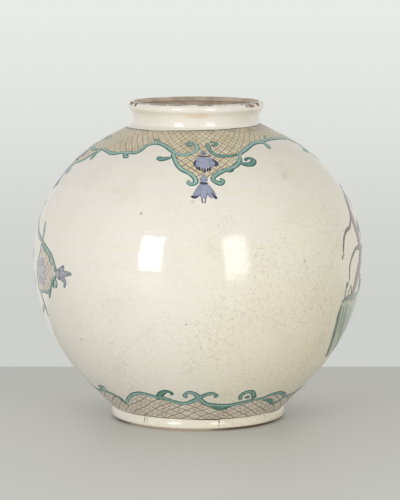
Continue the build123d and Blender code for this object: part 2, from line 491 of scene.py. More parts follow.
def on_glaze(sizes, section, azimuth, down, lift):
    """Points on the glazed surface at an azimuth and a distance down it, lifted along its normal."""
    table = section["down"]
    coat = section["coat"]
    normal = section["normal"]
    radius = np.interp(down, table, coat[:, 0]) + lift * np.interp(down, table, normal[:, 0])
    height = np.interp(down, table, coat[:, 1]) + lift * np.interp(down, table, normal[:, 1])
    return settled(sizes, radius, height, azimuth)


# Meshes


def loft(points, closed=False, **attributes):
    """A closed surface through loops of points: points[row, column]. Each row is a loop.

    With closed, the last loop joins the first. Otherwise each end loop is closed by triangles that
    meet at the loop's mean point. If the volume comes out negative the faces are turned over.
    """
    rows, columns = points.shape[:2]
    vertices = points.reshape(-1, 3)
    size = (rows, columns)
    values = {name: np.broadcast_to(value, size).reshape(-1) for name, value in attributes.items()}
    spans = rows if closed else rows - 1
    row, column = np.meshgrid(np.arange(spans), np.arange(columns), indexing="ij")
    row = row.ravel()
    column = column.ravel()
    below = (row + 1) % rows
    beside = (column + 1) % columns
    quads = np.column_stack((row * columns + column, row * columns + beside,
                             below * columns + beside, below * columns + column))
    triangles = np.zeros((0, 3), int)
    if not closed:
        ring = np.arange(columns)
        last = (rows - 1) * columns
        top = len(vertices)
        vertices = np.vstack((vertices, points[0].mean(0), points[-1].mean(0)))
        for name, value in values.items():
            values[name] = np.concatenate((value, [value[:columns].mean(), value[last:].mean()]))
        triangles = np.vstack((
            np.column_stack(((ring + 1) % columns, ring, np.full(columns, top))),
            np.column_stack((last + ring, last + (ring + 1) % columns, np.full(columns, top + 1))),
        ))
    fans = np.vstack((quads[:, [0, 1, 2]], quads[:, [0, 2, 3]], triangles))
    a, b, c = (vertices[fans[:, k]] for k in range(3))
    if np.einsum("ij,ij->i", a, np.cross(b, c)).sum() < 0:
        quads = quads[:, ::-1]
        triangles = triangles[:, ::-1]
    return vertices, quads, triangles, values


def make_piece(name, parts, material, replaced=(), sharp=None):
    """One object from several closed surfaces, smooth, riding on the jar's body."""
    vertices = np.vstack([part[0] for part in parts])
    starts = np.cumsum([0] + [len(part[0]) for part in parts])
    faces = []
    for part, start in zip(parts, starts):
        faces += (part[1] + start).tolist() + (part[2] + start).tolist()
    mesh = bpy.data.meshes.new(name)
    mesh.from_pydata(vertices.tolist(), [], faces)
    for kind in parts[0][3]:
        layer = mesh.attributes.new(kind, "FLOAT", "POINT")
        values = np.concatenate([part[3][kind] for part in parts])
        layer.data.foreach_set("value", values.astype(np.float32))
    mesh.shade_smooth()
    if sharp is not None:
        mesh.set_sharp_from_angle(angle=sharp)
    mesh.materials.append(material)
    mesh.validate()
    piece = bpy.data.objects.new(name, mesh)
    bpy.context.scene.collection.objects.link(piece)
    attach(piece, "root")
    if replaced:
        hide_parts(*replaced)
    return piece


def smooth_path(points, samples):
    """A smooth curve through points.

    Each span is a cubic, and its slope at a point is half the step between the point's neighbours.
    """
    ends = np.vstack((2 * points[0] - points[1], points, 2 * points[-1] - points[-2]))
    place = np.linspace(0, len(points) - 1, samples)
    span = np.minimum(place.astype(int), len(points) - 2)
    t = (place - span)[:, None]
    a, b, c, d = (ends[span + k] for k in range(4))
    square = (2 * a - 5 * b + 4 * c - d) * t ** 2
    cube = (3 * b - a - 3 * c + d) * t ** 3
    return 0.5 * (2 * b + (c - a) * t + square + cube)


def stroke(sizes, section, points, shade, height, breadth):
    """A brush stroke through points of azimuth, millimetres down the glaze, and width in millimetres.

    Its section is a parabola over the width, closed by a flat that lies inside the glaze, and its
    ends are rounded: the half width follows a circle over the last half width.
    """
    control = np.array(points, float)
    home = control[:, 0].mean()
    down = control[:, 1] * mm
    radius = np.interp(down, section["down"], section["coat"][:, 0])
    flat = np.column_stack((np.radians(control[:, 0] - home) * radius, down, control[:, 2] * mm))
    span = np.hypot(*np.diff(flat[:, :2], axis=0).T).sum()
    line = smooth_path(flat, max(10, int(span / stroke_step)))
    step = np.hypot(*np.diff(line[:, :2], axis=0).T)
    along = np.concatenate(([0.0], np.cumsum(step)))
    run = np.gradient(line[:, :2], axis=0)
    run /= np.linalg.norm(run, axis=1)[:, None] + 1e-12
    half = np.clip(line[:, 2], least_breadth, None) * breadth / 2
    half *= 1 + brush_waver[0] * np.sin(along / brush_waver[1] + control[0, 0])
    to_end = np.clip(np.minimum(along / half[0], (along[-1] - along) / half[-1]), 0.02, 1)
    half *= np.sqrt(1 - (1 - to_end) ** 2)
    over = np.linspace(-1, 1, 9)
    under = np.linspace(1, -1, 5)[1:-1]
    across = np.concatenate((over, under))
    lift = np.concatenate((height * (1 - over ** 2) - edge_sink, np.full(3, -enamel_sink)))
    x = line[:, 0, None] - run[:, 1, None] * half[:, None] * across
    y = line[:, 1, None] + run[:, 0, None] * half[:, None] * across
    azimuth = home + np.degrees(x / np.interp(y, section["down"], section["coat"][:, 0]))
    thin = np.clip(half / full_half_width, 0.2, 1)[:, None]
    lifted = np.where(lift > 0, lift * thin, lift)
    reach = (along / along[-1])[:, None]
    return loft(on_glaze(sizes, section, azimuth, y, lifted), across=across, reach=reach, shade=shade)


def ring_stroke(sizes, section, down, width, height=enamel_height):
    """A painted ring: the same section as a stroke's, carried once round the jar at down(azimuth)."""
    azimuth = np.linspace(-180, 180, 360, endpoint=False)[:, None]
    over = np.linspace(-1, 1, 5)
    across = np.concatenate((over, [0.0]))
    lift = np.concatenate((height * (1 - over ** 2) - edge_sink, [-enamel_sink]))
    turn = np.radians(azimuth)
    waver = 0.22 * np.sin(5 * turn + 1) + 0.15 * np.sin(13 * turn) + 0.1 * np.cos(31 * turn)
    breadth = width * (1 + waver)
    place = down(turn) + 0.25 * mm * np.sin(7 * turn) + across * breadth / 2
    points = on_glaze(sizes, section, azimuth + 0 * place, place, lift + 0 * place)
    return loft(points, closed=True, across=across, reach=0.5, shade=0.0)


def ground_layer(sizes, section, azimuth, top, bottom, rows, closed=True):
    """A thin layer of enamel between two lines: at each azimuth its rows lie evenly from top to bottom.

    It has a quarter as many rows underneath, where it lies in the glaze.
    """
    under = max(3, rows // 4)
    share = np.concatenate((np.linspace(0, 1, rows), np.linspace(1, 0, under)))
    lift = np.repeat((ground_height, -enamel_sink), (rows, under))
    down = top[:, None] + (bottom - top)[:, None] * share
    points = on_glaze(sizes, section, azimuth[:, None] + 0 * down, down, lift + 0 * down)
    return loft(points, closed=closed, down=down)


def edged_layer(sizes, section, edge, rows=30, columns=80):
    """A patch of enamel between the two lines of a list of azimuths, tops and bottoms."""
    edge = edge[np.argsort(edge[:, 0])]
    azimuth = np.linspace(edge[0, 0], edge[-1, 0], columns)
    top, bottom = (np.interp(azimuth, edge[:, 0], edge[:, k]) * mm for k in (1, 2))
    return ground_layer(sizes, section, azimuth, top, bottom, rows, closed=False)


# Patterns of the painting: each point is an azimuth in degrees, millimetres down the glaze and a
# width in millimetres, and the number after a stroke's points is how deep its colour is

# How far round from the front pendant the other three stand, and how wide the gap on the right at
# the back is beside the others
right_pendant = 100.0
back_pendant = 180.0
left_pendant = -90.0
back_stretch = 0.82

# One pendant of the shoulder border, as it stands at the front: frame, curls, leaves and stem
pendant_frame = [
    ([(-12.1, 39.2, 3.4), (-12.3, 43.5, 4.2), (-11.3, 47.3, 4.4), (-9.7, 53.6, 4.6),
      (-7.4, 59.6, 4.6), (-5, 63, 4.4), (-2.6, 66.4, 4.4), (-0.9, 70.8, 4.4), (-0.8, 75.1, 4.2),
      (-2.5, 76.9, 3.6), (-3.9, 75.2, 3), (-3.2, 72.4, 2)], 0.15),
    ([(22.6, 44.1, 3), (22.2, 48.5, 4.2), (21.1, 51.8, 4.8), (18.8, 56.6, 4.6), (15.4, 60, 4.2),
      (12.3, 62.1, 4.2), (9.3, 65.4, 4.4), (6.9, 69.8, 4.4), (7.2, 73.9, 4.2), (9.6, 76.2, 4.4),
      (10.9, 73.4, 3.4), (9.6, 70.6, 2)], 0.3),
    ([(-1.3, 25.4, 2.2), (-3.9, 23.6, 3.6), (-5.8, 26.4, 4), (-4.3, 29.6, 3.4), (-2, 27.2, 2.6)], 0.55),
    ([(-0.6, 24.6, 3), (-0.1, 29, 4.6), (0.3, 33.4, 4.4), (-0.4, 37.2, 4), (-4.3, 41.4, 4.2),
      (-6.9, 42.4, 4.4), (-9.6, 41.9, 4), (-12.1, 39.2, 3.4)], 0.1),
    ([(8.6, 25.2, 2.2), (10.6, 23.6, 3.6), (12.6, 26.4, 4), (10.8, 29.2, 3.4), (9, 27.4, 2.4)], 0.7),
    ([(7, 24.6, 3), (6.8, 29, 4.4), (7.2, 34.4, 4.6), (8.6, 40, 4.6), (11.4, 43.6, 5),
      (15.9, 44.4, 4.8), (19.8, 43.8, 4), (22.6, 42.6, 3.4)], 0.6),
    ([(-12.8, 45.6, 2.2), (-15.2, 47.4, 3.8), (-18, 48.6, 5), (-20, 47.2, 3.6), (-18.2, 45.4, 2.2)], 0.6),
]
# The curl on a pendant's right, which the left-hand pendant lacks
pendant_curl = [
    ([(21.4, 53.6, 3.2), (24, 55.8, 5), (27, 55.6, 5.4), (29.2, 51.6, 4.6), (27.6, 48.2, 3.4),
      (25, 49.6, 2.6), (25.4, 52, 2.2)], 0.75),
    ([(12.6, 61, 1.6), (14.8, 62.6, 3.6), (17.2, 61.2, 2)], 0.8),
]
# Its blossoms: a cap, a bell of three lobes, and a second one that hangs below the frame
pendant_blossom = [
    ([(3.7, 36.5, 5), (3.6, 39.8, 7.2), (3.9, 43.2, 9)], 0.4),
    ([(1.8, 46, 5), (0.6, 50, 7), (0.2, 54.6, 7), (0.9, 58.4, 3.5)], 0.15),
    ([(5.7, 46, 5), (7, 50, 7.5), (7.4, 54.6, 7.5), (6.2, 58.2, 3.5)], 0.2),
    ([(3.8, 45.4, 9), (3.5, 50.5, 12), (3.3, 55.5, 12.5), (3.3, 60, 8)], 0),
    ([(2.9, 65.6, 3.4), (2.8, 69.6, 6.2), (2.7, 72.6, 8.4), (2.7, 75, 7.4)], 0.05),
    ([(2, 77, 4), (1, 81.6, 6), (-0.2, 86.4, 6.6), (-1.4, 89.8, 4.4)], 0.1),
    ([(3.6, 77, 4), (4.5, 81.8, 6), (5.5, 87, 6.6), (6.4, 90.8, 4.4)], 0.12),
    ([(2.7, 77, 5), (2.6, 82, 7.2), (2.4, 87, 7.2), (2.3, 91.6, 4.6)], 0),
]
pendant_stamens = [
    ([(-0.2, 43.6, 1.6), (3.9, 44.8, 2.4), (8.2, 43.6, 1.6)], 0.9),
    ([(-0.1, 49.4, 2.2), (-1.1, 53, 3), (-0.7, 57.4, 2.4)], 0.9),
    ([(7.6, 48, 1.8), (8.9, 51, 3.2), (9.6, 54.4, 4.4), (8.2, 57.2, 2.4)], 1),
    ([(-0.3, 56.8, 1.6), (0, 58.8, 2.4), (0.4, 60.6, 1.4)], 1),
    ([(1, 57.6, 2), (1, 60, 3), (1.5, 62.4, 1.6)], 1),
    ([(2.3, 59.2, 1.4), (2.3, 61.6, 1.8), (2.5, 63.4, 1.2)], 0.9),
    ([(3.5, 59.2, 2), (3.5, 62, 3), (3.2, 65, 1.6)], 1),
    ([(4.8, 58.6, 1.6), (4.9, 61, 2), (4.6, 63, 1.2)], 0.9),
    ([(6, 57.6, 2), (6, 60.2, 2.8), (5.6, 63, 1.6)], 1),
    ([(0.8, 75.2, 2), (2.7, 76.4, 2.8), (4.5, 75.6, 2)], 0.9),
    ([(0.3, 88.8, 2), (-1.2, 89.8, 3.2), (-2.7, 89.2, 2)], 1),
    ([(5.1, 85, 1.6), (6.3, 88.8, 3.2), (7.5, 91.8, 2.2)], 1),
    ([(1.6, 90.6, 1.2), (1.7, 93.4, 1), (2, 95.8, 1.3)], 0.8),
    ([(3.1, 90.6, 1.2), (2.9, 93.4, 1), (2.6, 96.2, 1.3)], 0.8),
]
# Lower edge of the lattice inside one pendant
pendant_edge = [(-12.5, 40.6), (-11.3, 47.3), (-9.7, 53.6), (-7.4, 59.6), (-5, 63), (-2.6, 66.4),
                (-0.9, 70.8), (6.9, 69.8), (9.3, 65.4), (12.3, 62.1), (15.4, 60), (18.8, 56.6),
                (21.1, 51.8), (22.6, 44.1)]
# Strands that run from a pendant to the next one, to the left and to the right of the front
left_strands = [
    ([(-12.1, 39.2, 3.4), (-14.2, 36.2, 4.2), (-18.2, 30.4, 4.6), (-22.4, 26.9, 4.6),
      (-26, 26.3, 4.4), (-29.5, 28.2, 4.2), (-31.8, 31.9, 4.2), (-32.9, 38.1, 4.4),
      (-35.1, 41.5, 4.6), (-38.3, 41.7, 5), (-40.6, 44, 4.8), (-39.6, 47.4, 4.2), (-37, 47.8, 3)], 0.25),
    ([(-37.1, 42.6, 3.4), (-43.1, 42.3, 4.2), (-47.4, 44.4, 4.4), (-51.6, 44.7, 4.2),
      (-58.3, 42.4, 4), (-63, 41, 3.6), (-67.4, 42.2, 3)], 0.25),
    ([(-63.6, 42.4, 2.4), (-65.2, 47.6, 4.2), (-64.8, 52.4, 5), (-63.4, 56.4, 3)], 0.4),
    ([(-24, 26.4, 1.8), (-26.6, 21.6, 3.2), (-30.6, 19.6, 2.4)], 0.5),
]
left_edge = [(-67.4, 43), (-64.5, 42), (-58.3, 42.4), (-51.6, 44.7), (-47.4, 44.6), (-43.1, 42.5),
             (-37.1, 43), (-35.1, 41.3), (-32.9, 38.1), (-31.8, 31.9), (-29.5, 28.4), (-26, 26.4),
             (-22.4, 26.9), (-18.2, 30.6), (-14.2, 36.4)]
right_strands = [
    ([(22.6, 43.4, 3.2), (26.2, 38.6, 4.2), (31.2, 33.2, 4.6), (37.3, 27.7, 4.8),
      (42.8, 26.6, 4.8), (46, 28.6, 4.6), (46.4, 33, 4.6), (45.2, 38, 3)], 0.25),
    ([(43.4, 26.2, 3), (48, 25, 3.8), (55.7, 23.6, 4.2), (63, 23.8, 4.2), (72, 25, 4.2),
      (81, 28.4, 4.2), (88, 38, 3.6)], 0.3),
    ([(52, 24.2, 1.8), (54, 19.6, 3), (57.6, 17.8, 2.2)], 0.5),
]
right_edge = [(23.5, 42.8), (26.2, 38.8), (31.2, 33.4), (37.3, 27.7), (42.8, 26.9), (48, 26),
              (55.7, 23.8), (63, 24), (72, 25.2), (81, 28.6), (87.4, 38)]

# The foot border at the front: scrolls, swags, curls and leaves
foot_scroll = [
    ([(-82, 287.6, 3.2), (-76.8, 290.7, 4.4), (-72.6, 294.4, 4.8), (-67, 294, 4.4),
      (-57.9, 290.8, 4.2), (-52.5, 292.6, 4.6), (-47.8, 296.7, 5), (-46.2, 302.5, 5.2),
      (-44.8, 307.4, 3.8)], 0.6),
    ([(-43.6, 303.6, 2.6), (-41.1, 297.2, 4), (-35.8, 289.4, 4.6), (-30.3, 284.6, 4.8),
      (-26.5, 284.8, 4.6), (-23.2, 287.2, 4.4), (-20.1, 288.5, 4.4), (-16.6, 289.4, 4.6),
      (-13.4, 293.3, 5), (-9.4, 295.9, 5.2), (-5.2, 295.2, 5), (-1.5, 290.8, 4.8),
      (0.5, 287.2, 4.6), (3, 283.4, 4.2), (6.6, 280.6, 4), (8.9, 284, 3.6), (8, 287.4, 2.6)], 0.3),
    ([(-21.2, 292.4, 4), (-19.4, 286.8, 6), (-17.4, 281.4, 5.6), (-14.8, 278.4, 4.2),
      (-12.6, 280.6, 3.4), (-13, 284.4, 2.4)], 0.85),
    ([(-19.2, 289.2, 3), (-16.4, 290.6, 5), (-13.8, 291.6, 4)], 0.9),
    ([(-5.4, 287.9, 2.4), (-6.4, 283.6, 3.6), (-4.2, 279, 4.2), (-1.4, 281.5, 4.4),
      (0.5, 287.4, 4.6), (2.4, 293, 4.8), (5.6, 297.6, 5), (11.8, 299.6, 5.2), (17.5, 300.1, 5.2),
      (22.9, 298, 5), (27.1, 296, 4.8), (31.4, 294.6, 4.2)], 0.35),
    ([(22.6, 293.4, 2.8), (21.6, 287, 4.2), (23.2, 281.8, 4.6), (26.4, 281.4, 4.6),
      (28.6, 286.4, 4.6), (30.4, 293.4, 4.2)], 0.55),
    ([(24, 290.6, 2), (25.6, 288.4, 3.6), (26.6, 292, 2.4)], 0.7),
    ([(6.6, 299, 2.6), (10.4, 303, 5.4), (13.4, 305, 5.6), (16.6, 302.8, 4.2), (18.4, 300.8, 2.2)], 0.9),
    ([(31.4, 294.6, 3), (36.6, 293.6, 4.2), (39.6, 290.4, 4.6), (44.6, 289.2, 5), (49.4, 291.6, 5),
      (53, 295.6, 4.8), (53.8, 300.6, 4.6), (50.8, 305.4, 4), (47, 303.6, 3)], 0.6),
    ([(37.8, 297.4, 3), (41.4, 298, 5.4), (44.8, 301.6, 5.4), (47, 306.4, 3.4)], 0.9),
    ([(55, 297.4, 3), (61.2, 299, 4.2), (68.6, 296.2, 4.6), (76.7, 292.6, 4.4), (83, 290.4, 3.4)], 0.5),
    ([(-62, 292.6, 2.2), (-59.6, 287, 3.8), (-55.4, 284, 4.2), (-52.8, 287, 3)], 0.5),
]
foot_edge = [(-82, 288), (-76.8, 290.9), (-72.6, 294.6), (-57.9, 290.8), (-52.5, 292.8),
             (-47.8, 296.7), (-46.2, 302.5), (-44.8, 304.5), (-43, 301), (-41.1, 297.2),
             (-35.8, 289.4), (-30.3, 284.8), (-26.5, 285.2), (-23.2, 287.4), (-16.6, 289.2),
             (-13.4, 293.3), (-9.4, 295.9), (-5.2, 295.6), (-1.5, 290.8), (0.5, 288.8), (2.4, 293),
             (5.6, 297.6), (11.8, 299.3), (17.5, 300.1), (22.9, 298), (27.1, 296), (30.6, 295.4),
             (36.6, 294.2), (39.4, 290.7), (44.6, 289.6), (52.4, 294.2), (58, 298.4),
             (61.2, 299.3), (68.6, 296.4), (76.7, 293), (83, 290.6)]

# Short stained cracks that run down the foot
foot_cracks = [
    ([(-37.4, 322, 1.3), (-37, 325, 1), (-37.6, 328, 0.6)], 0.7),
    ([(-35.2, 323, 0.6), (-35, 325.4, 0.5), (-35.4, 327.6, 0.4)], 0.4),
    ([(13.5, 322, 1.2), (13.8, 325, 1), (13.3, 328.6, 0.6)], 0.7),
    ([(104, 322, 1), (104.6, 325.6, 0.8), (104.2, 329, 0.5)], 0.6),
    ([(-148, 322, 1.1), (-147.4, 325, 0.9), (-148, 328.4, 0.5)], 0.6),
]

# Half of the medallion on the jar's left, the half that is nearer the front. The other mirrors it.
medallion_azimuth = -96.0
medallion_frame = [
    ([(-71.6, 124, 3), (-71, 129.4, 5), (-69.9, 135, 5), (-70.1, 142, 3.6)], 0.4),
    ([(-70.4, 141.6, 3.6), (-66.3, 145.6, 4.6), (-62.2, 149.8, 4.8), (-59.4, 155.4, 5),
      (-57.9, 160.4, 5), (-56.8, 165.2, 4.4), (-56.6, 168.8, 3)], 0.5),
    ([(-69.6, 144.4, 1.6), (-65.4, 149.8, 2.2), (-61.8, 154.6, 2.2), (-60, 161, 1.8)], 1),
    ([(-70.2, 142, 3.4), (-70.9, 152.8, 4.2), (-73, 160.4, 4.4), (-74.6, 167.6, 4.6),
      (-75.9, 176, 4.6), (-75.7, 185.4, 4.6), (-73.8, 191.4, 4.4), (-72.4, 196.6, 4.6),
      (-71.8, 203, 4.4), (-71.4, 211.6, 2.4)], 0.35),
    ([(-56.7, 168.4, 3), (-57.9, 171.4, 4.2), (-59.9, 174.6, 4.6), (-61.2, 179.4, 4.8),
      (-63, 185.4, 4.6), (-64.2, 192, 3)], 0.65),
    ([(-58.6, 173, 2.6), (-59.3, 177.4, 4.2), (-59, 181, 2.8)], 0.95),
    ([(-56.9, 172.6, 2.4), (-57.1, 176.8, 4), (-57.9, 180.4, 2.6)], 0.7),
    ([(-63, 187.4, 3), (-67, 186.8, 3.6), (-72.6, 188.2, 3)], 0.55),
]
# Azimuth, top and bottom of the lattice inside the frame's side compartment
medallion_edge = [(-57, 167, 168.4), (-58.2, 160.5, 172), (-59.8, 155.6, 175.2),
                  (-62.4, 150.2, 184), (-66.5, 146, 187.4), (-70.2, 144, 188.4), (-71.2, 154, 189),
                  (-73.6, 163, 190), (-75.8, 176, 184)]
medallion_rim = [
    ([(-70.4, 141.4, 4), (-76, 138, 4.8), (-83, 130, 4.8), (-89, 123, 4.6), (-92.6, 116, 4.2),
      (-90.8, 110.6, 3.4), (-88.6, 113.4, 2.2)], 0.35),
    ([(-71.8, 202, 4), (-77, 206, 4.8), (-84, 214, 4.8), (-90, 221, 4.6), (-93.2, 228, 4.2),
      (-91.2, 233.6, 3.4), (-89.2, 230.6, 2.2)], 0.45),
]
medallion_flower = [
    ([(-73, 166, 4), (-70, 161.4, 8), (-66.4, 157.6, 5)], 0.1),
    ([(-74, 178, 4), (-70.8, 177.4, 8), (-67, 179.6, 5)], 0.15),
    ([(-73, 168, 4), (-69, 166.4, 9.6), (-64, 165, 6)], 0),
    ([(-73.6, 172, 4), (-69.6, 172, 9.6), (-64.4, 173.4, 6)], 0.05),
    ([(-56.7, 167.2, 6), (-55.2, 167.2, 10.5), (-53.8, 167, 9.5)], 0.1),
    ([(-54.6, 164.4, 5), (-53.2, 162.2, 6), (-51.8, 158.8, 2.8)], 0.35),
    ([(-54.4, 169, 5), (-52.4, 171, 5.8), (-51.6, 173.8, 4.8), (-52.3, 178.6, 2.4)], 0.4),
    ([(-54.6, 166.8, 6), (-51.8, 165.8, 6.4), (-49.6, 165.2, 4.2), (-47.5, 165, 2.2)], 0.25),
]
medallion_accents = [
    ([(-54.9, 162.6, 1.4), (-54.5, 167, 2), (-54.9, 171.4, 1.4)], 0.9),
    ([(-52.6, 160.6, 1.4), (-51.7, 158.6, 1.6)], 1),
    ([(-50, 165.2, 1.6), (-47.6, 165, 1.4)], 1),
    ([(-51.8, 174.6, 1.6), (-52.4, 178.6, 1.4)], 1),
]
medallion_heart = [
    ([(-96, 167, 5), (-96, 152, 13), (-96, 141, 7)], 0.15),
    ([(-96, 172, 5), (-96, 187, 13), (-96, 199, 7)], 0.15),
    ([(-93, 169, 5), (-87.5, 160, 11), (-83.6, 154, 6)], 0.1),
    ([(-93, 171, 5), (-87.5, 179, 11), (-83.6, 186, 6)], 0.2),
    ([(-97.6, 170, 6), (-96, 170, 9), (-94.4, 170, 6)], 0.95),
]

# The tree on the jar's right: a leaning trunk, boughs and hanging twigs, on a grassy mound
tree_limbs = [
    ([(70, 197, 13), (71, 187, 13), (74, 173, 15), (78.4, 158, 16), (78, 144, 15), (76, 130, 13),
      (76.6, 117, 11), (80.4, 105, 8), (86, 97, 4)], 0.1),
    ([(75, 118, 4), (72, 124, 4), (68.6, 129, 4), (64.8, 131, 3.6), (61.8, 136, 3.2),
      (60.2, 143, 2.8), (59.2, 150, 1.8)], 0.6),
    ([(76.4, 150, 5), (72, 149, 4), (67, 154, 3.4), (64.2, 163, 3), (64.6, 176, 2)], 0.6),
    ([(77, 140, 8), (83, 132, 8), (90, 128, 6), (98, 120, 4.4), (108, 118, 2.4)], 0.2),
    ([(78, 158, 7), (84, 152, 6), (92, 152, 5), (100, 146, 3.6), (106, 148, 2)], 0.3),
    ([(86, 130, 2.4), (87, 140, 2), (90, 148, 1.4)], 0.8),
    ([(97, 121, 2.4), (98.6, 132, 2), (97, 141, 1.4)], 0.8),
    ([(104, 118.6, 2.2), (106.4, 128, 2), (105.4, 139, 1.4)], 0.8),
    ([(82, 101, 2.4), (88, 106, 2), (91, 114, 1.4)], 0.8),
]
tree_leaves = [
    ([(60, 150, 1), (58.9, 152.8, 3), (58.4, 155.6, 1)], 0.6),
    ([(64.4, 176, 1), (63.4, 179, 3), (63, 182, 1)], 0.6),
    ([(90, 148, 1), (91.4, 151.4, 3.4), (91.8, 155, 1)], 0.5),
    ([(97, 141, 1), (96.2, 145, 3.4), (96.6, 149, 1)], 0.5),
    ([(105.4, 139, 1), (105, 143, 3.4), (106, 147, 1)], 0.5),
    ([(108, 118, 1), (111, 117, 3.6), (114, 118.4, 1)], 0.5),
    ([(106, 148, 1), (109, 149, 3.6), (111.4, 152, 1)], 0.5),
    ([(86, 96, 1), (88.6, 93.4, 3.4), (91.4, 92.6, 1)], 0.5),
    ([(91, 114, 1), (92.4, 117.6, 3.4), (92.6, 121.4, 1)], 0.5),
]
mound_strokes = [
    ([(60.4, 194, 3), (66, 192.4, 6), (74, 194.6, 8), (84, 192, 8), (94, 196, 7), (104, 201, 4)], 0.45),
    ([(61, 196, 4), (60.8, 205, 6.4), (61.6, 216, 7.4), (63, 228, 7.4), (65, 240, 6.4),
      (67.6, 252, 4)], 0.75),
    ([(66, 198, 6), (67, 210, 9), (69, 222, 10), (72, 234, 9), (76, 245, 5)], 0.35),
    ([(73, 200, 6), (75, 212, 10), (78, 224, 11), (83, 236, 8), (88, 243, 4)], 0.2),
    ([(81, 199, 6), (84, 210, 10), (88, 221, 10), (93, 230, 7), (98, 235, 4)], 0.4),
    ([(90, 201, 6), (94, 209, 9), (99, 216, 8), (104, 221, 4)], 0.3),
    ([(63, 199, 1.6), (64.6, 213, 2.6), (66.8, 228, 2.2)], 1),
    ([(70, 201, 1.6), (72, 214, 2.4), (75, 229, 1.8)], 0.95),
    ([(79, 202, 1.6), (81.4, 213, 2.4), (85, 226, 1.8)], 0.95),
]
# Azimuth, top and bottom of the mound's pale ground
mound_edge = [(60, 197, 204), (61.6, 194.6, 222), (64, 193.4, 242), (67.6, 194, 252),
              (74, 195.6, 250), (84, 193.4, 245), (94, 197, 236), (104, 202, 224), (109, 207, 211)]
# Reeds that stand on the mound: azimuth and place of each root
reed_roots = [(62.4, 194), (64.6, 193), (68, 192.6), (80, 192), (83.4, 191.6), (88, 193),
              (92, 195), (97, 198), (101, 200)]


def moved(strokes, shift, stretch=1.0, about=0.0):
    """Strokes carried round the jar, and stretched along it about an azimuth."""
    return [([(about + (a - about) * stretch + shift, s, w) for a, s, w in points], shade)
            for points, shade in strokes]


def mirrored(strokes, azimuth):
    """Strokes mirrored about an azimuth."""
    return [([(2 * azimuth - a, s, w) for a, s, w in points], shade) for points, shade in strokes]


def moved_edge(edge, shift, stretch=1.0, about=0.0):
    """An edge line carried round the jar, and stretched along it about an azimuth."""
    return [(about + (a - about) * stretch + shift, s) for a, s in edge]


def edge_at(edge, azimuth):
    """Distance down the glaze of an edge line at each azimuth, with the line closed round the jar."""
    line = np.array(sorted(((a + 180) % 360 - 180, s) for a, s in edge))
    line = np.vstack((line[-1] - (360, 0), line, line[0] + (360, 0)))
    return np.interp(azimuth, line[:, 0], line[:, 1]) * mm


# Materials


def add_node(tree, kind, inputs=None, **options):
    """A new node with its options. Each input is set to a value or linked to another node's output."""
    node = tree.nodes.new(kind)
    for name, value in options.items():
        setattr(node, name, value)
    for name, value in (inputs or {}).items():
        if isinstance(value, bpy.types.NodeSocket):
            tree.links.new(value, node.inputs[name])
        else:
            node.inputs[name].default_value = value
    return node


def maths(tree, operation, first, second=0.0, third=0.0, clamp=False):
    """One Math node's output."""
    return add_node(tree, "ShaderNodeMath", {0: first, 1: second, 2: third}, operation=operation,
                    use_clamp=clamp).outputs[0]


def ramp(tree, value, low, high, to_low=0.0, to_high=1.0):
    """A value carried smoothly from one range to another, and held at its ends."""
    ends = {"From Min": low, "From Max": high, "To Min": to_low, "To Max": to_high}
    return add_node(tree, "ShaderNodeMapRange", {"Value": value, **ends},
                    interpolation_type="SMOOTHSTEP").outputs["Result"]


def blend(tree, share, first, second, kind="MIX"):
    """Two colours mixed by a share."""
    node = add_node(tree, "ShaderNodeMix", data_type="RGBA", blend_type=kind, clamp_factor=True)
    for name, value in ((0, share), (6, first), (7, second)):
        if isinstance(value, bpy.types.NodeSocket):
            tree.links.new(value, node.inputs[name])
        elif name == 0:
            node.inputs[0].default_value = value
        else:
            node.inputs[name].default_value = (*value[:3], 1.0)
    return node.outputs[2]


def noise(tree, place, scale, detail=2.0, roughness=0.5, colour=False):
    """A noise texture's output at a place."""
    node = add_node(tree, "ShaderNodeTexNoise", {"Vector": place, "Scale": scale, "Detail": detail,
                                                 "Roughness": roughness})
    return node.outputs["Color" if colour else "Fac"]


def vector_maths(tree, operation, first, second):
    """One Vector Math node's vector."""
    node = add_node(tree, "ShaderNodeVectorMath", {0: first, 1: second}, operation=operation)
    return node.outputs[0]


def stretched(tree, place, scale):
    """A place with each coordinate multiplied by its own factor."""
    return vector_maths(tree, "MULTIPLY", place, scale)


def shaken(tree, place, scale, size):
    """A place pushed about by a noise of a given scale and size."""
    push = vector_maths(tree, "SUBTRACT", noise(tree, place, scale, colour=True), (0.5, 0.5, 0.5))
    return vector_maths(tree, "ADD", place, vector_maths(tree, "MULTIPLY", push, (size, size, size)))


def attribute(tree, name):
    """A mesh attribute's value."""
    node = add_node(tree, "ShaderNodeAttribute", attribute_name=name, attribute_type="GEOMETRY")
    return node.outputs["Fac"]


def new_material(name, roughness):
    """A material with a Principled shader, its node tree, the shader and the Object coordinates."""
    material = bpy.data.materials.new(name)
    material.use_nodes = True
    tree = material.node_tree
    shader = tree.nodes["Principled BSDF"]
    shader.inputs["Roughness"].default_value = roughness
    shader.inputs["IOR"].default_value = 1.5
    place = add_node(tree, "ShaderNodeTexCoord").outputs["Object"]
    return material, tree, shader, place


def set_bump(tree, shader, height, distance, strength=1.0):
    """Bump on a shader from a height between 0 and 1 that stands for a distance."""
    inputs = {"Height": height, "Distance": distance, "Strength": strength}
    bump = add_node(tree, "ShaderNodeBump", inputs)
    tree.links.new(bump.outputs["Normal"], shader.inputs["Normal"])


def crackle_lines(tree, place, cell, width):
    """Lines of a crackle with cells of a given size, 1 on the line and 0 off it."""
    place = shaken(tree, place, 90.0, 0.006)
    edge = add_node(tree, "ShaderNodeTexVoronoi", {"Vector": place, "Scale": 1 / cell},
                    feature="DISTANCE_TO_EDGE").outputs["Distance"]
    return ramp(tree, edge, 0.2 * width / cell, width / cell, 1.0, 0.0)


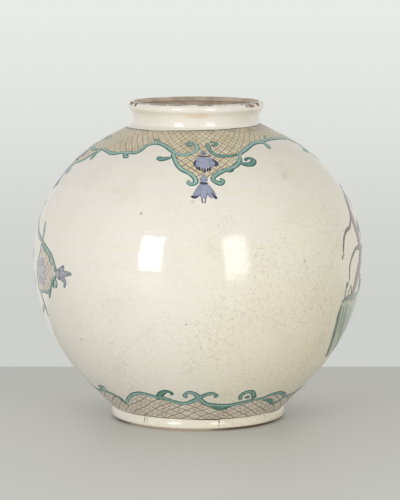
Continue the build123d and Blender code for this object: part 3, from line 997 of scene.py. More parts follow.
# Marks in the glaze: azimuth, millimetres down, radius in millimetres, strength, and 1 if rusty
glaze_marks = [(-21.0, 106.6, 1.7, 0.75, 1), (-4.1, 203.1, 1.3, 0.6, 1), (-49.2, 226.5, 1.3, 0.55, 1),
               (38.2, 150.9, 2.2, 0.45, 1), (1.1, 225.4, 1.3, 0.5, 1), (-1.9, 94.2, 2.2, 0.3, 1),
               (45.0, 145.5, 1.3, 0.5, 0), (43.4, 147.0, 0.9, 0.45, 0), (7.3, 116.5, 1.0, 0.45, 0),
               (41.0, 71.0, 6.0, 0.14, 0), (120.0, 140.0, 1.6, 0.6, 1),
               (170.0, 180.0, 1.8, 0.6, 1), (-140.0, 110.0, 1.4, 0.6, 1), (-155.0, 215.0, 1.3, 0.5, 0),
               (200.0, 120.0, 9.0, 0.10, 0)]


def crackled_glaze(sizes, section, colours):
    """Ivory glaze, yellower and a little darker to the right and lower down as painted shade, with
    stained crackle, throwing lines and marks.

    The brown inside the mouth, a wash that is also painted shade of the mouth's inside, the worn rim and
    the chips come from the mesh's attributes.
    """
    dust = (0.52, 0.45, 0.34)
    pit_brown = (0.24, 0.20, 0.13)
    rust_spot = (0.30, 0.13, 0.06)
    grey_spot = (0.16, 0.14, 0.12)
    tan_stain = (0.66, 0.47, 0.27)
    worn_brown = (0.115, 0.09, 0.065)
    broken_dark = (0.17, 0.12, 0.085)
    broken_pale = (0.62, 0.50, 0.41)
    material, tree, shader, place = new_material("crackled_ivory_glaze", 0.17)
    x, _, z = add_node(tree, "ShaderNodeSeparateXYZ", {0: place}).outputs
    clouds = noise(tree, place, 9.0, 3.0, 0.55)
    # Painted shade: the glaze turns towards honey to the right and lower down; the noise clouds added on
    # top are the glaze's own uneven tone.
    painted_shade_and_tone = maths(tree, "MULTIPLY_ADD", x, 5.0, 0.35)
    painted_shade_and_tone = maths(tree, "MULTIPLY_ADD", maths(tree, "SUBTRACT", 0.15, z), 2.4, painted_shade_and_tone)
    painted_shade_and_tone = maths(tree, "ADD", painted_shade_and_tone, maths(tree, "MULTIPLY_ADD", clouds, 1.1, -0.55))
    colour = blend(tree, ramp(tree, painted_shade_and_tone, 0.0, 1.7), colours.ivory, colours.honey)
    bands = noise(tree, stretched(tree, place, (4.0, 4.0, 230.0)), 1.0, 2.0)
    colour = blend(tree, ramp(tree, bands, 0.45, 0.75, 0.0, 0.3), colour, colours.honey)
    grime = noise(tree, place, 34.0, 4.0, 0.6)
    colour = blend(tree, ramp(tree, grime, 0.5, 0.8, 0.0, 0.16), colour, dust)
    large = crackle_lines(tree, place, 6.4 * mm, 0.34 * mm)
    small = crackle_lines(tree, stretched(tree, place, (1.0, 1.0, 1.25)), 3.6 * mm, 0.24 * mm)
    broken_up = ramp(tree, noise(tree, place, 340.0, 3.0, 0.6), 0.4, 0.62, 0.12, 1.0)
    side = ramp(tree, maths(tree, "MULTIPLY_ADD", z, -1.2, x), -0.34, -0.06, 0.16, 1.0)
    patch = ramp(tree, noise(tree, place, 16.0, 2.0), 0.38, 0.64, 0.35, 1.0)
    spread = maths(tree, "MULTIPLY", maths(tree, "MULTIPLY", side, patch), broken_up)
    stain = maths(tree, "MULTIPLY", spread, large)
    faint = maths(tree, "MULTIPLY", spread, small)
    colour = blend(tree, maths(tree, "MULTIPLY", stain, 0.35), colour, colours.crackle)
    colour = blend(tree, maths(tree, "MULTIPLY", faint, 0.2), colour, colours.crackle)
    pits = add_node(tree, "ShaderNodeTexVoronoi", {"Vector": place, "Scale": 120.0}).outputs["Distance"]
    picked = maths(tree, "MULTIPLY", side, ramp(tree, noise(tree, place, 60.0, 1.0), 0.54, 0.62))
    pits = maths(tree, "MULTIPLY", picked, ramp(tree, pits, 0.04, 0.10, 0.6, 0.0))
    colour = blend(tree, pits, colour, pit_brown)
    for azimuth, down, radius, strength, rusty in glaze_marks:
        centre = on_glaze(sizes, section, np.array(azimuth), np.array(down * mm), 0.0)
        ragged = shaken(tree, place, 400.0, 0.0012)
        away = add_node(tree, "ShaderNodeVectorMath", {0: ragged, 1: tuple(centre)},
                        operation="DISTANCE").outputs["Value"]
        share = ramp(tree, away, 0.2 * radius * mm, radius * mm, strength, 0.0)
        colour = blend(tree, share, colour, rust_spot if rusty else grey_spot)
    tan = on_glaze(sizes, section, np.array(1.0), np.array(-11 * mm), 0.0)
    away = stretched(tree, vector_maths(tree, "SUBTRACT", place, tuple(tan)), (1.0, 1.0, 5.0))
    away = add_node(tree, "ShaderNodeVectorMath", {0: away}, operation="LENGTH").outputs["Value"]
    colour = blend(tree, ramp(tree, away, 4 * mm, 18 * mm, 0.35, 0.0), colour, tan_stain)
    # Painted shade: the wash turns the lip's inside to iron and clay brown, standing in for the shade
    # inside the mouth as well as a wash.
    wash = attribute(tree, "wash")
    ragged = maths(tree, "MULTIPLY_ADD", noise(tree, place, 160.0, 4.0, 0.65), 0.8, -0.4)
    mouth_shade_and_wash = ramp(tree, maths(tree, "MULTIPLY_ADD", ragged, 0.5, wash), 0.42, 0.58)
    runs = noise(tree, stretched(tree, place, (1.0, 1.0, 0.2)), 60.0, 3.0)
    inside = blend(tree, ramp(tree, runs, 0.35, 0.65), colours.iron, colours.clay)
    colour = blend(tree, mouth_shade_and_wash, colour, inside)
    worn = ramp(tree, attribute(tree, "rim"), 0.2, 0.7)
    worn = maths(tree, "MULTIPLY", worn, ramp(tree, noise(tree, place, 90.0, 4.0, 0.6), 0.42, 0.5))
    colour = blend(tree, worn, colour, worn_brown)
    bare = maths(tree, "ADD", attribute(tree, "bare"), maths(tree, "MULTIPLY", ragged, 0.5))
    bare = ramp(tree, bare, 0.35, 0.6)
    broken = ramp(tree, noise(tree, place, 220.0, 2.0), 0.4, 0.6)
    broken = blend(tree, broken, broken_dark, broken_pale)
    colour = blend(tree, bare, colour, broken)
    tree.links.new(colour, shader.inputs["Base Color"])
    dull = maths(tree, "MAXIMUM", mouth_shade_and_wash, bare)
    rough = maths(tree, "MULTIPLY_ADD", grime, 0.10, 0.03)
    rough = maths(tree, "ADD", rough, maths(tree, "MULTIPLY", dull, 0.45))
    tree.links.new(rough, shader.inputs["Roughness"])
    peel = noise(tree, place, 700.0, 2.0)
    height = maths(tree, "MULTIPLY_ADD", peel, 0.04, maths(tree, "MULTIPLY", bands, 0.4))
    lumps = noise(tree, stretched(tree, place, (1.0, 1.0, 1.6)), 75.0, 1.0)
    height = maths(tree, "MULTIPLY_ADD", lumps, 0.9, height)
    height = maths(tree, "MULTIPLY_ADD", maths(tree, "MAXIMUM", stain, faint), -0.3, height)
    gravel = maths(tree, "MULTIPLY", noise(tree, place, 500.0, 3.0), 2.0)
    height = maths(tree, "MULTIPLY_ADD", bare, gravel, height)
    set_bump(tree, shader, height, 0.12 * mm)
    return material


def bare_clay(colours, name, dark, dark_at_sides=False):
    """Fired stoneware: sandy, with iron specks, soft clouds and a brown wash that runs down in places.

    When its sides are asked to be dark, it is nearly as pale as the glaze in front and dark brown at the
    sides.
    """
    material, tree, shader, place = new_material(name, 0.8)
    clouds = noise(tree, place, 30.0, 4.0, 0.6)
    runs = noise(tree, stretched(tree, place, (1.0, 1.0, 0.22)), 70.0, 3.0)
    darker = tuple(0.8 * c for c in colours.clay)
    colour = blend(tree, ramp(tree, clouds, 0.3, 0.7), colours.clay, darker)
    colour = blend(tree, ramp(tree, runs, 0.42, 0.62, 0.0, dark), colour, colours.iron)
    if dark_at_sides:
        x = add_node(tree, "ShaderNodeSeparateXYZ", {0: place}).outputs[0]
        right = ramp(tree, maths(tree, "MULTIPLY_ADD", clouds, 0.03, x), 0.02, 0.045)
        left = maths(tree, "MULTIPLY_ADD", clouds, 0.03, maths(tree, "MULTIPLY", x, -1.0))
        left = ramp(tree, left, 0.065, 0.085)
        colour = blend(tree, maths(tree, "MAXIMUM", right, left), colour, (0.17, 0.115, 0.075))
    grit = add_node(tree, "ShaderNodeTexVoronoi", {"Vector": place, "Scale": 420.0}).outputs["Distance"]
    specks = ramp(tree, grit, 0.05, 0.16, 0.65, 0.0)
    colour = blend(tree, specks, colour, (0.09, 0.06, 0.045))
    tree.links.new(colour, shader.inputs["Base Color"])
    sand = noise(tree, place, 900.0, 3.0, 0.7)
    set_bump(tree, shader, maths(tree, "ADD", sand, maths(tree, "MULTIPLY", clouds, 1.5)), 0.25 * mm)
    return material


def brushed_enamel(name, core, edge, deep, edge_start=0.32, edge_share=0.95):
    """Brushed enamel: a pale core with a darker outline, deeper where the stroke's shade says so."""
    material, tree, shader, place = new_material(name, 0.24)
    across = maths(tree, "ABSOLUTE", attribute(tree, "across"))
    reach = attribute(tree, "reach")
    shade = attribute(tree, "shade")
    pools = noise(tree, place, 260.0, 3.0, 0.6)
    waver = maths(tree, "MULTIPLY_ADD", noise(tree, place, 420.0, 2.0), 0.5, -0.25)
    outline = maths(tree, "ADD", across, waver)
    outline = ramp(tree, outline, edge_start, edge_start + 0.3, 0.0, edge_share)
    colour = blend(tree, ramp(tree, pools, 0.35, 0.7, 0.0, 0.22), core, edge)
    to_tip = maths(tree, "MULTIPLY_ADD", ramp(tree, reach, 0.6, 1.0), 0.6, 1.0)
    depth = maths(tree, "MULTIPLY", maths(tree, "MULTIPLY", shade, to_tip),
                  ramp(tree, pools, 0.2, 0.6, 0.6, 1.0), clamp=True)
    colour = blend(tree, depth, colour, deep)
    colour = blend(tree, outline, colour, edge)
    thin = noise(tree, place, 1300.0, 2.0)
    colour = blend(tree, ramp(tree, thin, 0.55, 0.8, 0.0, 0.25), colour, (0.72, 0.70, 0.62))
    tree.links.new(colour, shader.inputs["Base Color"])
    set_bump(tree, shader, pools, 0.08 * mm)
    return material


def lattice_enamel(name, ground, line_colour, around, spacing, line, dots, dot_size, darkened_down=0.0):
    """A painted lattice: two sets of slanting lines on a pale ground, with a dot in each diamond.

    The pattern's two coordinates are the azimuth times the number of diamonds around the jar and the
    distance down the glaze over a diamond's height. Their sum and difference count the two sets of
    lines. It is darker in patches near its top, fading out by the given depth.
    """
    material, tree, shader, place = new_material(name, 0.28)
    x, y, _ = add_node(tree, "ShaderNodeSeparateXYZ", {0: place}).outputs
    turn = maths(tree, "ARCTAN2", x, maths(tree, "MULTIPLY", y, -1.0))
    waver = noise(tree, place, 55.0, 2.0)
    other = noise(tree, stretched(tree, place, (1.0, 1.0, -1.0)), 47.0, 2.0)
    u = maths(tree, "MULTIPLY_ADD", turn, around / (2 * pi), maths(tree, "MULTIPLY", waver, 0.5))
    v = maths(tree, "MULTIPLY_ADD", attribute(tree, "down"), 1 / spacing,
              maths(tree, "MULTIPLY", other, 0.5))
    p = maths(tree, "ADD", u, v)
    q = maths(tree, "SUBTRACT", u, v)
    from_line = []
    for value in (p, q):
        middle = maths(tree, "SUBTRACT", maths(tree, "FRACT", value), 0.5)
        from_line.append(maths(tree, "ABSOLUTE", middle))
    nearest = maths(tree, "MAXIMUM", *from_line)
    pressure = maths(tree, "MULTIPLY_ADD", noise(tree, place, 120.0, 2.0), 0.10, -0.05)
    lines = maths(tree, "ADD", nearest, pressure)
    lines = ramp(tree, lines, 0.5 - 1.6 * line, 0.5 - 0.5 * line, 0.0, 0.8)
    middle = maths(tree, "SQRT", maths(tree, "ADD", maths(tree, "POWER", from_line[0], 2.0),
                                       maths(tree, "POWER", from_line[1], 2.0)))
    cell = {0: maths(tree, "FLOOR", p), 1: maths(tree, "FLOOR", q), 2: 0.0}
    cell = add_node(tree, "ShaderNodeCombineXYZ", cell)
    pick = add_node(tree, "ShaderNodeTexWhiteNoise", {"Vector": cell.outputs[0]}, noise_dimensions="3D")
    dot_colour = add_node(tree, "ShaderNodeValToRGB", {"Fac": pick.outputs["Value"]})
    dot_colour.color_ramp.interpolation = "CONSTANT"
    stops = dot_colour.color_ramp.elements
    while len(stops) < len(dots):
        stops.new(1.0)
    for number, dot in enumerate(dots):
        stops[number].position = number / len(dots)
        stops[number].color = (*dot, 1.0)
    tint = noise(tree, place, 70.0, 3.0)
    deeper = tuple(c * s for c, s in zip(ground, (0.9, 0.86, 0.8)))
    colour = blend(tree, ramp(tree, tint, 0.35, 0.65), ground, deeper)
    patch = ramp(tree, noise(tree, place, 150.0, 2.0), 0.35, 0.6, 0.25, 0.85)
    dotted = maths(tree, "MULTIPLY", patch, ramp(tree, middle, 0.6 * dot_size, dot_size, 1.0, 0.0))
    colour = blend(tree, dotted, colour, dot_colour.outputs["Color"])
    colour = blend(tree, lines, colour, line_colour)
    if darkened_down:
        darkening = ramp(tree, attribute(tree, "down"), 0.3 * darkened_down, darkened_down, 0.75, 0.0)
        patch = ramp(tree, noise(tree, place, 110.0, 4.0, 0.65), 0.3, 0.65)
        darkening = maths(tree, "MULTIPLY", darkening, patch)
        colour = blend(tree, darkening, colour, (0.27, 0.225, 0.15))
    tree.links.new(colour, shader.inputs["Base Color"])
    set_bump(tree, shader, lines, 0.06 * mm)
    return material


def plain_material(name, colour, roughness=0.6):
    """An even matt material for the stage."""
    material, _, shader, _ = new_material(name, roughness)
    shader.inputs["Base Color"].default_value = (*colour, 1.0)
    return material


# Operators


def settings(context):
    """The scene's sizes, the section worked out from them, and the colours."""
    sizes = context.scene.jar_sizes
    return sizes, jar_section(sizes), context.scene.jar_colours


class JAR_OT_coat_glaze(Operator):
    """Builds the glaze coat, from the inside of the lip to the foot's bare edge"""

    bl_idname = "jar.coat_glaze"
    bl_label = "Glaze coat"

    def execute(self, context):
        sizes, section, colours = settings(context)
        outer = rows_along(section["coat"], body_row_step, turn_per_row)
        inner = rows_along(section["clay"], 4 * body_row_step, 3 * turn_per_row)[1:-1]
        line = np.vstack((section["coat"][outer], section["clay"][inner[::-1]]))
        azimuth = np.linspace(-180, 180, skin_columns, endpoint=False)
        radius, turn = np.meshgrid(line[:, 0], azimuth, indexing="ij")
        height = np.broadcast_to(line[:, 1, None], radius.shape)
        points = settled(sizes, radius, height, turn)
        lip_radius, lip_height = section["lip"]
        angle = np.degrees(np.arctan2(line[:, 1] - lip_height, line[:, 0] - lip_radius))
        on_lip = line[:, 1] > lip_height - 1 * mm
        # The wash marks the brown inside the mouth, painted shade as well as a wash; it reaches over the
        # top of the roll at the back and stays inside it at the front.
        start, wander, blur = mouth_shade_begins
        begins = start + wander * np.cos(np.radians(azimuth))
        wash = np.clip(0.5 + (angle[:, None] - begins) / blur, 0, 1) * on_lip[:, None]
        middle, spread = worn_rim
        rim = np.where(on_lip, np.exp(-((angle - middle) / spread) ** 2), 0)[:, None]
        bare = np.zeros_like(radius)
        for centre, spread, depth in lip_chips:
            away = (turn - centre + 180) % 360 - 180
            bare = np.maximum(bare, np.exp(-(away / spread) ** 4) * min(1, depth / bare_depth))
        middle, spread = chipped_rim
        top = np.where(on_lip, np.exp(-((angle - middle) / spread) ** 4), 0)[:, None]
        part = loft(points, closed=True, wash=wash, rim=rim, bare=bare * top)
        glaze = crackled_glaze(sizes, section, colours)
        make_piece("glaze_skin", [part], glaze, ["glaze_coat"])
        return {"FINISHED"}


def turned_clay(sizes, line, ridged=None, closed=True):
    """A section of the clay carried round the axis, with spiral throwing ridges where ridged is 1."""
    azimuth = np.linspace(-180, 180, clay_columns, endpoint=False)
    radius, turn = np.meshgrid(line[:, 0], azimuth, indexing="ij")
    height = np.repeat(line[:, 1, None], len(azimuth), axis=1)
    if ridged is not None:
        run = np.concatenate(([0.0], np.cumsum(np.hypot(*np.diff(line, axis=0).T))))[:, None]
        ridges = np.sin(2 * pi * run / ridge_pitch + np.radians(turn))
        radius = radius + ridged[:, None] * inner_ridge * ridges
    return loft(settled(sizes, radius, height, turn), closed=closed)


def thinned(line, step, turn):
    """A line with only the points that a mesh needs."""
    even = evenly(line)
    return even[rows_along(even, step, turn)]


class JAR_OT_throw_clay(Operator):
    """Builds the clay: foot ring, bowl, shoulder, collar and the slip in the belly seam"""

    bl_idname = "jar.throw_clay"
    bl_label = "Clay sections"

    tongue_inset: FloatProperty(
        name="Tongue inset", description="From the foot's inner edge to its tongue",
        default=4.4 * mm, unit="LENGTH")
    tongue_width: FloatProperty(
        name="Tongue width", description="Width of the foot's tongue", default=4 * mm, unit="LENGTH")
    tongue_height: FloatProperty(
        name="Tongue height", description="Height of the foot's tongue", default=2 * mm, unit="LENGTH")
    rabbet_height: FloatProperty(
        name="Rabbet height", description="Height of the step in the belly seam",
        default=3 * mm, unit="LENGTH")
    spigot_wall: FloatProperty(
        name="Spigot wall", description="Thickness of the collar's spigot",
        default=2.6 * mm, unit="LENGTH")
    spigot_depth: FloatProperty(
        name="Spigot depth", description="How far the collar's spigot goes into the shoulder",
        default=3.5 * mm, unit="LENGTH")
    slip_depth: FloatProperty(
        name="Slip depth", description="How far the slip stands out of the seam",
        default=2.4 * mm, unit="LENGTH")
    slip_curve: FloatProperty(
        name="Slip curve", description="Radius of the slip's face", default=24 * mm, unit="LENGTH")

    def execute(self, context):
        sizes, section, colours = settings(context)
        clay = bare_clay(colours, "bare_stoneware", 0.55)
        dark_at_sides = bare_clay(colours, "dark_sided_stoneware", 0.2, True)
        # The collar's clay is mostly brown wash: in the throat it stands for the shade inside the mouth
        # as well, as painted shade.
        mouth_shade_and_wash = bare_clay(colours, "washed_and_shaded_stoneware", 0.9)
        step = 3 * mm
        turn = radians(8)
        joint = section["joint"]
        rest_outer = sizes.foot_radius - sizes.foot_bevel_width
        rest_inner = rest_outer - sizes.foot_rest_width
        tongue_in = rest_inner + self.tongue_inset
        tongue_out = tongue_in + self.tongue_width
        tongue_top = sizes.foot_height + self.tongue_height
        hollow = rest_inner + sizes.foot_hollow_draft
        tongue = [(tongue_in, sizes.foot_height), (tongue_in, tongue_top), (tongue_out, tongue_top),
                  (tongue_out, sizes.foot_height)]
        rest = [(rest_outer, 0.0), (rest_inner, 0.0), (hollow, sizes.foot_height)]
        foot = np.vstack((thinned(section["foot"], 1 * mm, turn), rest, tongue))
        parts = [turned_clay(sizes, foot)]
        make_piece("foot_ring_clay", parts, dark_at_sides, ["foot_ring"], crisp_edge)

        wall = sizes.body_wall
        clay_radius = sizes.body_radius - sizes.glaze_thickness
        seam = sizes.belly_height
        rabbet = [(clay_radius - wall / 2, seam), (clay_radius - wall / 2, seam + self.rabbet_height),
                  (clay_radius - wall, seam + self.rabbet_height)]
        inside = section["bowl_inside"]
        inside = inside[inside[:, 1] > sizes.floor_height]
        corner = inside[-1].copy()
        floor = np.vstack((inside, [(axis_gap, sizes.floor_height)]))
        floor = softened(evenly(floor), [corner], floor_corner)
        floor = floor[rows_along(floor, 2 * mm, turn)]
        outside = thinned(section["bowl"], step, turn)[::-1]
        bowl = np.vstack(([(axis_gap, sizes.foot_height)], tongue, outside, rabbet, floor))
        ridged = np.concatenate((np.zeros(len(bowl) - len(floor)), np.ones(len(floor))))
        parts = [turned_clay(sizes, bowl, ridged, closed=False)]
        make_piece("bowl_clay", parts, clay, ["lower_body"], crisp_edge)

        spigot = sizes.throat_radius + self.spigot_wall
        low = joint[1] - self.spigot_depth
        inside = section["shoulder_inside"]
        inside = inside[inside[:, 0] > sizes.throat_radius]
        inside = thinned(inside[inside[:, 1] > seam + self.rabbet_height], 2 * mm, turn)
        neck = [(sizes.throat_radius, inside[-1, 1] + 0.3 * mm), (sizes.throat_radius, low),
                (spigot, low), (spigot, joint[1])]
        outside = thinned(section["shoulder"], step, turn)
        shoulder = np.vstack((outside, rabbet, inside, neck))
        ridged = np.zeros(len(shoulder))
        start = len(outside) + len(rabbet)
        ridged[start:start + len(inside)] = 1
        parts = [turned_clay(sizes, shoulder, ridged)]
        make_piece("shoulder_clay", parts, clay, ["upper_body"], crisp_edge)

        throat_top = section["lip"][1] - sizes.throat_top_drop
        steps = np.linspace(low, throat_top, 8)
        throat = np.column_stack((np.full_like(steps, sizes.throat_radius), steps))
        outside = thinned(section["collar"], 1 * mm, turn)
        collar = np.vstack((throat, outside, [(spigot, joint[1]), (spigot, low)]))
        parts = [turned_clay(sizes, collar)]
        make_piece("collar_clay", parts, mouth_shade_and_wash, ["neck_collar"], crisp_edge)

        inner_radius = clay_radius - wall
        middle = seam + self.rabbet_height / 2
        reach = acos(1 - self.slip_depth / self.slip_curve)
        face = arc_line((inner_radius + self.slip_curve - self.slip_depth, middle), self.slip_curve,
                        pi - reach, pi + reach)
        back = np.array([(inner_radius + slip_sink, middle - self.slip_curve * sin(reach)),
                         (inner_radius + slip_sink, middle + self.slip_curve * sin(reach))])
        slip = np.vstack((thinned(face, 2 * mm, turn), back))
        seam_clay = bare_clay(colours, "seam_slip_clay", 0.25)
        parts = [turned_clay(sizes, slip)]
        make_piece("seam_slip_bead", parts, seam_clay, ["seam_slip"], crisp_edge)
        return {"FINISHED"}


class JAR_OT_paint_lattice(Operator):
    """Paints the lattice grounds of the shoulder border, the foot border and the medallion"""

    bl_idname = "jar.paint_lattice"
    bl_label = "Lattice grounds"

    shoulder_diamonds: IntProperty(
        name="Shoulder diamonds", description="Diamonds round the shoulder border", default=76, min=12)
    foot_diamonds: IntProperty(
        name="Foot diamonds", description="Diamonds round the foot border", default=40, min=12)
    medallion_diamonds: IntProperty(
        name="Medallion diamonds", description="Diamonds that would go round the jar at the medallion",
        default=110, min=12)

    def execute(self, context):
        sizes, section, colours = settings(context)
        azimuth = np.linspace(-180, 180, 600, endpoint=False)
        turn = np.radians(azimuth)
        edge = pendant_edge + left_edge + right_edge + moved_edge(left_edge, -90)
        edge += moved_edge(left_edge, 180, back_stretch, -12.5)
        for shift in (right_pendant, back_pendant, left_pendant):
            edge += moved_edge(pendant_edge, shift)
        neck = neck_line_down(turn)
        dots = [(0.42, 0.36, 0.12), (0.62, 0.50, 0.16), (0.46, 0.17, 0.11), (0.36, 0.38, 0.20),
                (0.55, 0.47, 0.34)]
        ink = colours.lattice_line
        lattice = lattice_enamel("shoulder_lattice_enamel", colours.lattice_ground, ink,
                                 self.shoulder_diamonds, spacing=8 * mm, line=0.085, dots=dots,
                                 dot_size=0.26, darkened_down=14 * mm)
        layer = ground_layer(sizes, section, azimuth, neck, edge_at(edge, azimuth), 40)
        make_piece("shoulder_lattice", [layer], lattice)
        edge = foot_edge + moved_edge(foot_edge, 180)
        dots = [(0.16, 0.11, 0.10), (0.20, 0.14, 0.12)]
        lattice = lattice_enamel("foot_lattice_enamel", colours.foot_ground, ink,
                                 self.foot_diamonds, spacing=9.8 * mm, line=0.09, dots=dots,
                                 dot_size=0.2)
        foot = foot_line_down(turn)
        layer = ground_layer(sizes, section, azimuth, edge_at(edge, azimuth), foot, 24)
        make_piece("foot_lattice", [layer], lattice)
        dots = [(0.42, 0.36, 0.12), (0.50, 0.38, 0.18), (0.40, 0.20, 0.15)]
        lattice = lattice_enamel("medallion_lattice_enamel", colours.foot_ground, ink,
                                 self.medallion_diamonds, spacing=9 * mm, line=0.07, dots=dots,
                                 dot_size=0.22)
        near = np.array(medallion_edge)
        far = near * (-1, 1, 1) + (2 * medallion_azimuth, 0, 0)
        layers = [edged_layer(sizes, section, edge) for edge in (near, far)]
        make_piece("medallion_lattice", layers, lattice)
        return {"FINISHED"}


def neck_line_down(turn):
    """How far down the line round the neck lies: it is drawn lower on the left."""
    return (4.0 - 3.0 * np.sin(turn) + 0.5 * np.cos(turn)) * mm


def foot_line_down(turn):
    """How far down the line round the foot lies, just above the joint."""
    return (320.6 + 0.5 * np.sin(turn + 0.5)) * mm


def strokes_piece(name, context, strokes, material, height=enamel_height, breadth=1.0):
    """One piece from a list of strokes laid on the glaze, with their widths multiplied by breadth."""
    sizes, section, _ = settings(context)
    parts = [stroke(sizes, section, points, shade, height, breadth) for points, shade in strokes]
    return make_piece(name, parts, material)


class JAR_OT_paint_borders(Operator):
    """Paints the green scrolls of the shoulder and foot borders, and the lines beside them"""

    bl_idname = "jar.paint_borders"
    bl_label = "Scroll borders"

    brush_breadth: FloatProperty(
        name="Brush breadth", description="Breadth of the scrolls beside their pattern's", default=1.14)

    def execute(self, context):
        sizes, section, colours = settings(context)
        green = brushed_enamel("green_scroll_enamel", colours.mint, colours.teal, colours.leaf)
        strokes = left_strands + right_strands
        strokes += moved(left_strands, -90) + moved(left_strands, 180, back_stretch, -12.1)
        for shift in (0, right_pendant, back_pendant):
            strokes += moved(pendant_frame + pendant_curl, shift)
        strokes += moved(pendant_frame, left_pendant)
        strokes_piece("shoulder_scroll", context, strokes, green, breadth=self.brush_breadth)
        strokes = foot_scroll + moved(foot_scroll, 180)
        strokes_piece("foot_scroll", context, strokes, green, breadth=self.brush_breadth)
        ink = colours.brush_line
        line = brushed_enamel("brush_line_enamel", ink, ink, (0.05, 0.05, 0.045))
        ring = ring_stroke(sizes, section, neck_line_down, width=2 * mm, height=line_height)
        make_piece("neck_line", [ring], line)
        ring = ring_stroke(sizes, section, foot_line_down, width=1.8 * mm, height=line_height)
        make_piece("foot_line", [ring], line)
        rust = brushed_enamel("foot_crack_stain", (0.24, 0.17, 0.09), (0.30, 0.22, 0.13),
                              (0.12, 0.08, 0.05))
        strokes_piece("foot_cracks", context, foot_cracks, rust, height=0.05 * mm)
        return {"FINISHED"}


class JAR_OT_paint_blossoms(Operator):
    """Paints the blossoms that hang in the four pendants"""

    bl_idname = "jar.paint_blossoms"
    bl_label = "Pendant blossoms"

    def execute(self, context):
        colours = context.scene.jar_colours
        indigo = colours.indigo
        blue = brushed_enamel("lavender_enamel", colours.lavender, indigo, indigo,
                              edge_start=0.6, edge_share=0.65)
        dark = brushed_enamel("indigo_enamel", indigo, indigo, (0.04, 0.045, 0.08))
        petals = []
        threads = []
        for shift in (0, right_pendant, back_pendant, left_pendant):
            petals += moved(pendant_blossom, shift)
            threads += moved(pendant_stamens, shift)
        strokes_piece("pendant_blossoms", context, petals, blue)
        strokes_piece("pendant_stamens", context, threads, dark, height=0.36 * mm)
        return {"FINISHED"}


class JAR_OT_paint_medallion(Operator):
    """Paints the framed medallion on the jar's left, with its flower"""

    bl_idname = "jar.paint_medallion"
    bl_label = "Medallion"

    def execute(self, context):
        colours = context.scene.jar_colours
        pale = tuple(0.55 * a + 0.45 * b for a, b in zip(colours.mint, (0.72, 0.74, 0.68)))
        green = brushed_enamel("medallion_green_enamel", pale, colours.teal, colours.leaf,
                               edge_start=0.36, edge_share=0.8)
        grey = tuple(0.35 * a + 0.65 * b for a, b in zip(colours.lavender, (0.56, 0.55, 0.56)))
        indigo = colours.indigo
        blue = brushed_enamel("medallion_lavender_enamel", grey, (0.14, 0.14, 0.18), indigo,
                              edge_start=0.5, edge_share=0.75)
        dark = brushed_enamel("medallion_indigo_enamel", indigo, indigo, (0.04, 0.045, 0.08))
        half = medallion_frame + medallion_rim
        strokes_piece("medallion_frame", context, half + mirrored(half, medallion_azimuth), green)
        hearts = medallion_heart + mirrored(medallion_heart[2:4], medallion_azimuth)
        flowers = medallion_flower + mirrored(medallion_flower, medallion_azimuth) + hearts
        strokes_piece("medallion_flowers", context, flowers, blue, height=0.34 * mm)
        accents = medallion_accents + mirrored(medallion_accents, medallion_azimuth)
        strokes_piece("medallion_accents", context, accents, dark, height=0.4 * mm)
        return {"FINISHED"}


class JAR_OT_paint_tree(Operator):
    """Paints the tree, its mound and the reeds on the jar's right"""

    bl_idname = "jar.paint_tree"
    bl_label = "Tree panel"

    def execute(self, context):
        sizes, section, colours = settings(context)
        shadow = (0.10, 0.13, 0.10)
        bark = brushed_enamel("bark_enamel", colours.bark, (0.16, 0.14, 0.13), (0.13, 0.115, 0.105),
                              edge_start=0.72, edge_share=0.7)
        grass = brushed_enamel("grass_enamel", colours.grass, (0.13, 0.21, 0.16), shadow,
                               edge_start=0.6, edge_share=0.8)
        wash = brushed_enamel("grass_wash_enamel", colours.moss, (0.33, 0.37, 0.28), shadow)
        make_piece("mound_ground", [edged_layer(sizes, section, np.array(mound_edge))], wash)
        strokes_piece("mound_grass", context, mound_strokes, grass, height=0.22 * mm)
        reeds = []
        for number, (azimuth, down) in enumerate(reed_roots):
            sway = 2.2 * sin(1.7 * number)
            tall = 14 + 5 * sin(2.3 * number + 1)
            reeds.append(([(azimuth, down, 1.6), (azimuth + 0.3 * sway, down - 0.55 * tall, 2.0),
                           (azimuth + sway, down - tall, 0.9)], 0.8))
        strokes_piece("reeds", context, reeds + tree_leaves, grass, height=0.36 * mm)
        strokes_piece("tree_limbs", context, tree_limbs, bark, height=0.32 * mm)
        return {"FINISHED"}


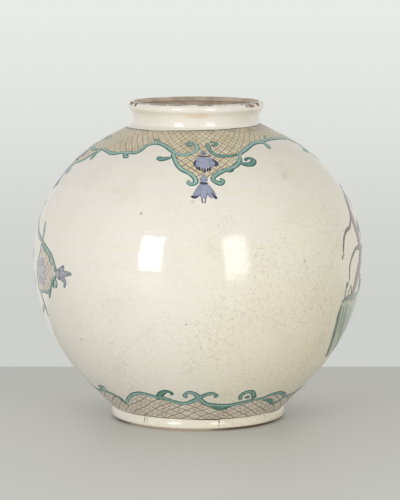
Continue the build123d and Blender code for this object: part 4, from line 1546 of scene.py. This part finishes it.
class JAR_OT_set_stage(Operator):
    """Sets the slab, the backdrop, the lamps and the camera"""

    bl_idname = "jar.set_stage"
    bl_label = "Stage"

    def execute(self, context):
        stage = context.scene.jar_stage
        scene = context.scene
        scene.view_settings.view_transform = "Standard"
        mesh = bpy.data.meshes.new("slab")
        wide = 1.6
        front = -1.2
        thick = 0.03
        corners = [(x, y, z) for z in (-thick, 0.0) for x, y in
                   ((-wide, front), (wide, front), (wide, stage.slab_back), (-wide, stage.slab_back))]
        sides = [(3, 2, 1, 0), (4, 5, 6, 7), (0, 1, 5, 4), (1, 2, 6, 5), (2, 3, 7, 6), (3, 0, 4, 7)]
        mesh.from_pydata(corners, [], sides)
        mesh.materials.append(plain_material("pale_slab", stage.slab_colour, 0.5))
        slab = bpy.data.objects.new("slab", mesh)
        scene.collection.objects.link(slab)
        middle = Vector((0.0, 0.0, 0.15))
        for name, azimuth, elevation, width, height in stage_lamps:
            light = bpy.data.lights.new(name, "AREA")
            light.shape = "RECTANGLE"
            light.size = width
            light.size_y = height
            light.energy = stage.lamp_power
            lamp = bpy.data.objects.new(name, light)
            a = radians(azimuth)
            e = radians(elevation)
            way = Vector((sin(a) * cos(e), -cos(a) * cos(e), sin(e)))
            lamp.location = middle + way * stage.lamp_distance
            lamp.rotation_euler = way.to_track_quat("Z", "Y").to_euler()
            scene.collection.objects.link(lamp)
        world = bpy.data.worlds.new("pale_room")
        scene.world = world
        world.use_nodes = True
        tree = world.node_tree
        fill = tree.nodes["Background"]
        fill.inputs["Color"].default_value = (1.0, 0.995, 0.98, 1.0)
        way = add_node(tree, "ShaderNodeTexCoord").outputs["Generated"]
        across, depth, rise = add_node(tree, "ShaderNodeSeparateXYZ", {0: way}).outputs
        side = ramp(tree, maths(tree, "ABSOLUTE", across), 0.3, 1.0)
        level = maths(tree, "MULTIPLY_ADD", side, stage.side_level, stage.fill_level)
        level = maths(tree, "MULTIPLY_ADD", ramp(tree, depth, 0.0, 0.8), stage.back_level, level)
        tree.links.new(level, fill.inputs["Strength"])
        # Painted shade: the backdrop that the camera sees is darker low down, towards the slab, and
        # lighter higher up.
        wall = blend(tree, ramp(tree, rise, -0.16, -0.02), (0.62, 0.63, 0.60), (0.82, 0.83, 0.79))
        backdrop = add_node(tree, "ShaderNodeBackground", {"Color": wall, "Strength": 1.0})
        seen = add_node(tree, "ShaderNodeLightPath").outputs["Is Camera Ray"]
        mix = {0: seen, 1: fill.outputs[0], 2: backdrop.outputs[0]}
        mix = add_node(tree, "ShaderNodeMixShader", mix)
        tree.links.new(mix.outputs[0], tree.nodes["World Output"].inputs["Surface"])
        camera = bpy.data.cameras.new("camera")
        camera.sensor_width = 36.0
        camera.lens = camera_lens
        camera.shift_x = camera_shift
        eye = bpy.data.objects.new("camera", camera)
        eye.location = camera_place
        eye.rotation_euler = (radians(90 - camera_tilt), 0.0, 0.0)
        scene.collection.objects.link(eye)
        scene.camera = eye
        return {"FINISHED"}


class JAR_PT_builder(Panel):
    """Lists the jar's operators and settings"""

    bl_idname = "JAR_PT_builder"
    bl_label = "Storage jar"
    bl_space_type = "VIEW_3D"
    bl_region_type = "UI"
    bl_category = "Jar"

    def draw(self, context):
        layout = self.layout
        for operator in operators:
            layout.operator(operator.bl_idname)
        groups = ((JarSizes, "jar_sizes"), (JarColours, "jar_colours"), (StageSettings, "jar_stage"))
        for group, name in groups:
            box = layout.box()
            for prop in group.__annotations__:
                box.prop(getattr(context.scene, name), prop)


operators = [JAR_OT_throw_clay, JAR_OT_coat_glaze, JAR_OT_paint_lattice, JAR_OT_paint_borders,
             JAR_OT_paint_blossoms, JAR_OT_paint_medallion, JAR_OT_paint_tree, JAR_OT_set_stage]
classes = [JarSizes, JarColours, StageSettings, *operators, JAR_PT_builder]


def register():
    """Adds the classes and the scene's settings."""
    for item in classes:
        bpy.utils.register_class(item)
    bpy.types.Scene.jar_sizes = PointerProperty(type=JarSizes)
    bpy.types.Scene.jar_colours = PointerProperty(type=JarColours)
    bpy.types.Scene.jar_stage = PointerProperty(type=StageSettings)


def unregister():
    """Takes away what register added."""
    del bpy.types.Scene.jar_stage
    del bpy.types.Scene.jar_colours
    del bpy.types.Scene.jar_sizes
    for item in reversed(classes):
        bpy.utils.unregister_class(item)


def main():
    """Builds the jar and its stage."""
    register()
    bpy.ops.jar.throw_clay()
    bpy.ops.jar.coat_glaze()
    bpy.ops.jar.paint_lattice()
    bpy.ops.jar.paint_borders()
    bpy.ops.jar.paint_blossoms()
    bpy.ops.jar.paint_medallion()
    bpy.ops.jar.paint_tree()
    bpy.ops.jar.set_stage()


if __name__ == "__main__":
    main()
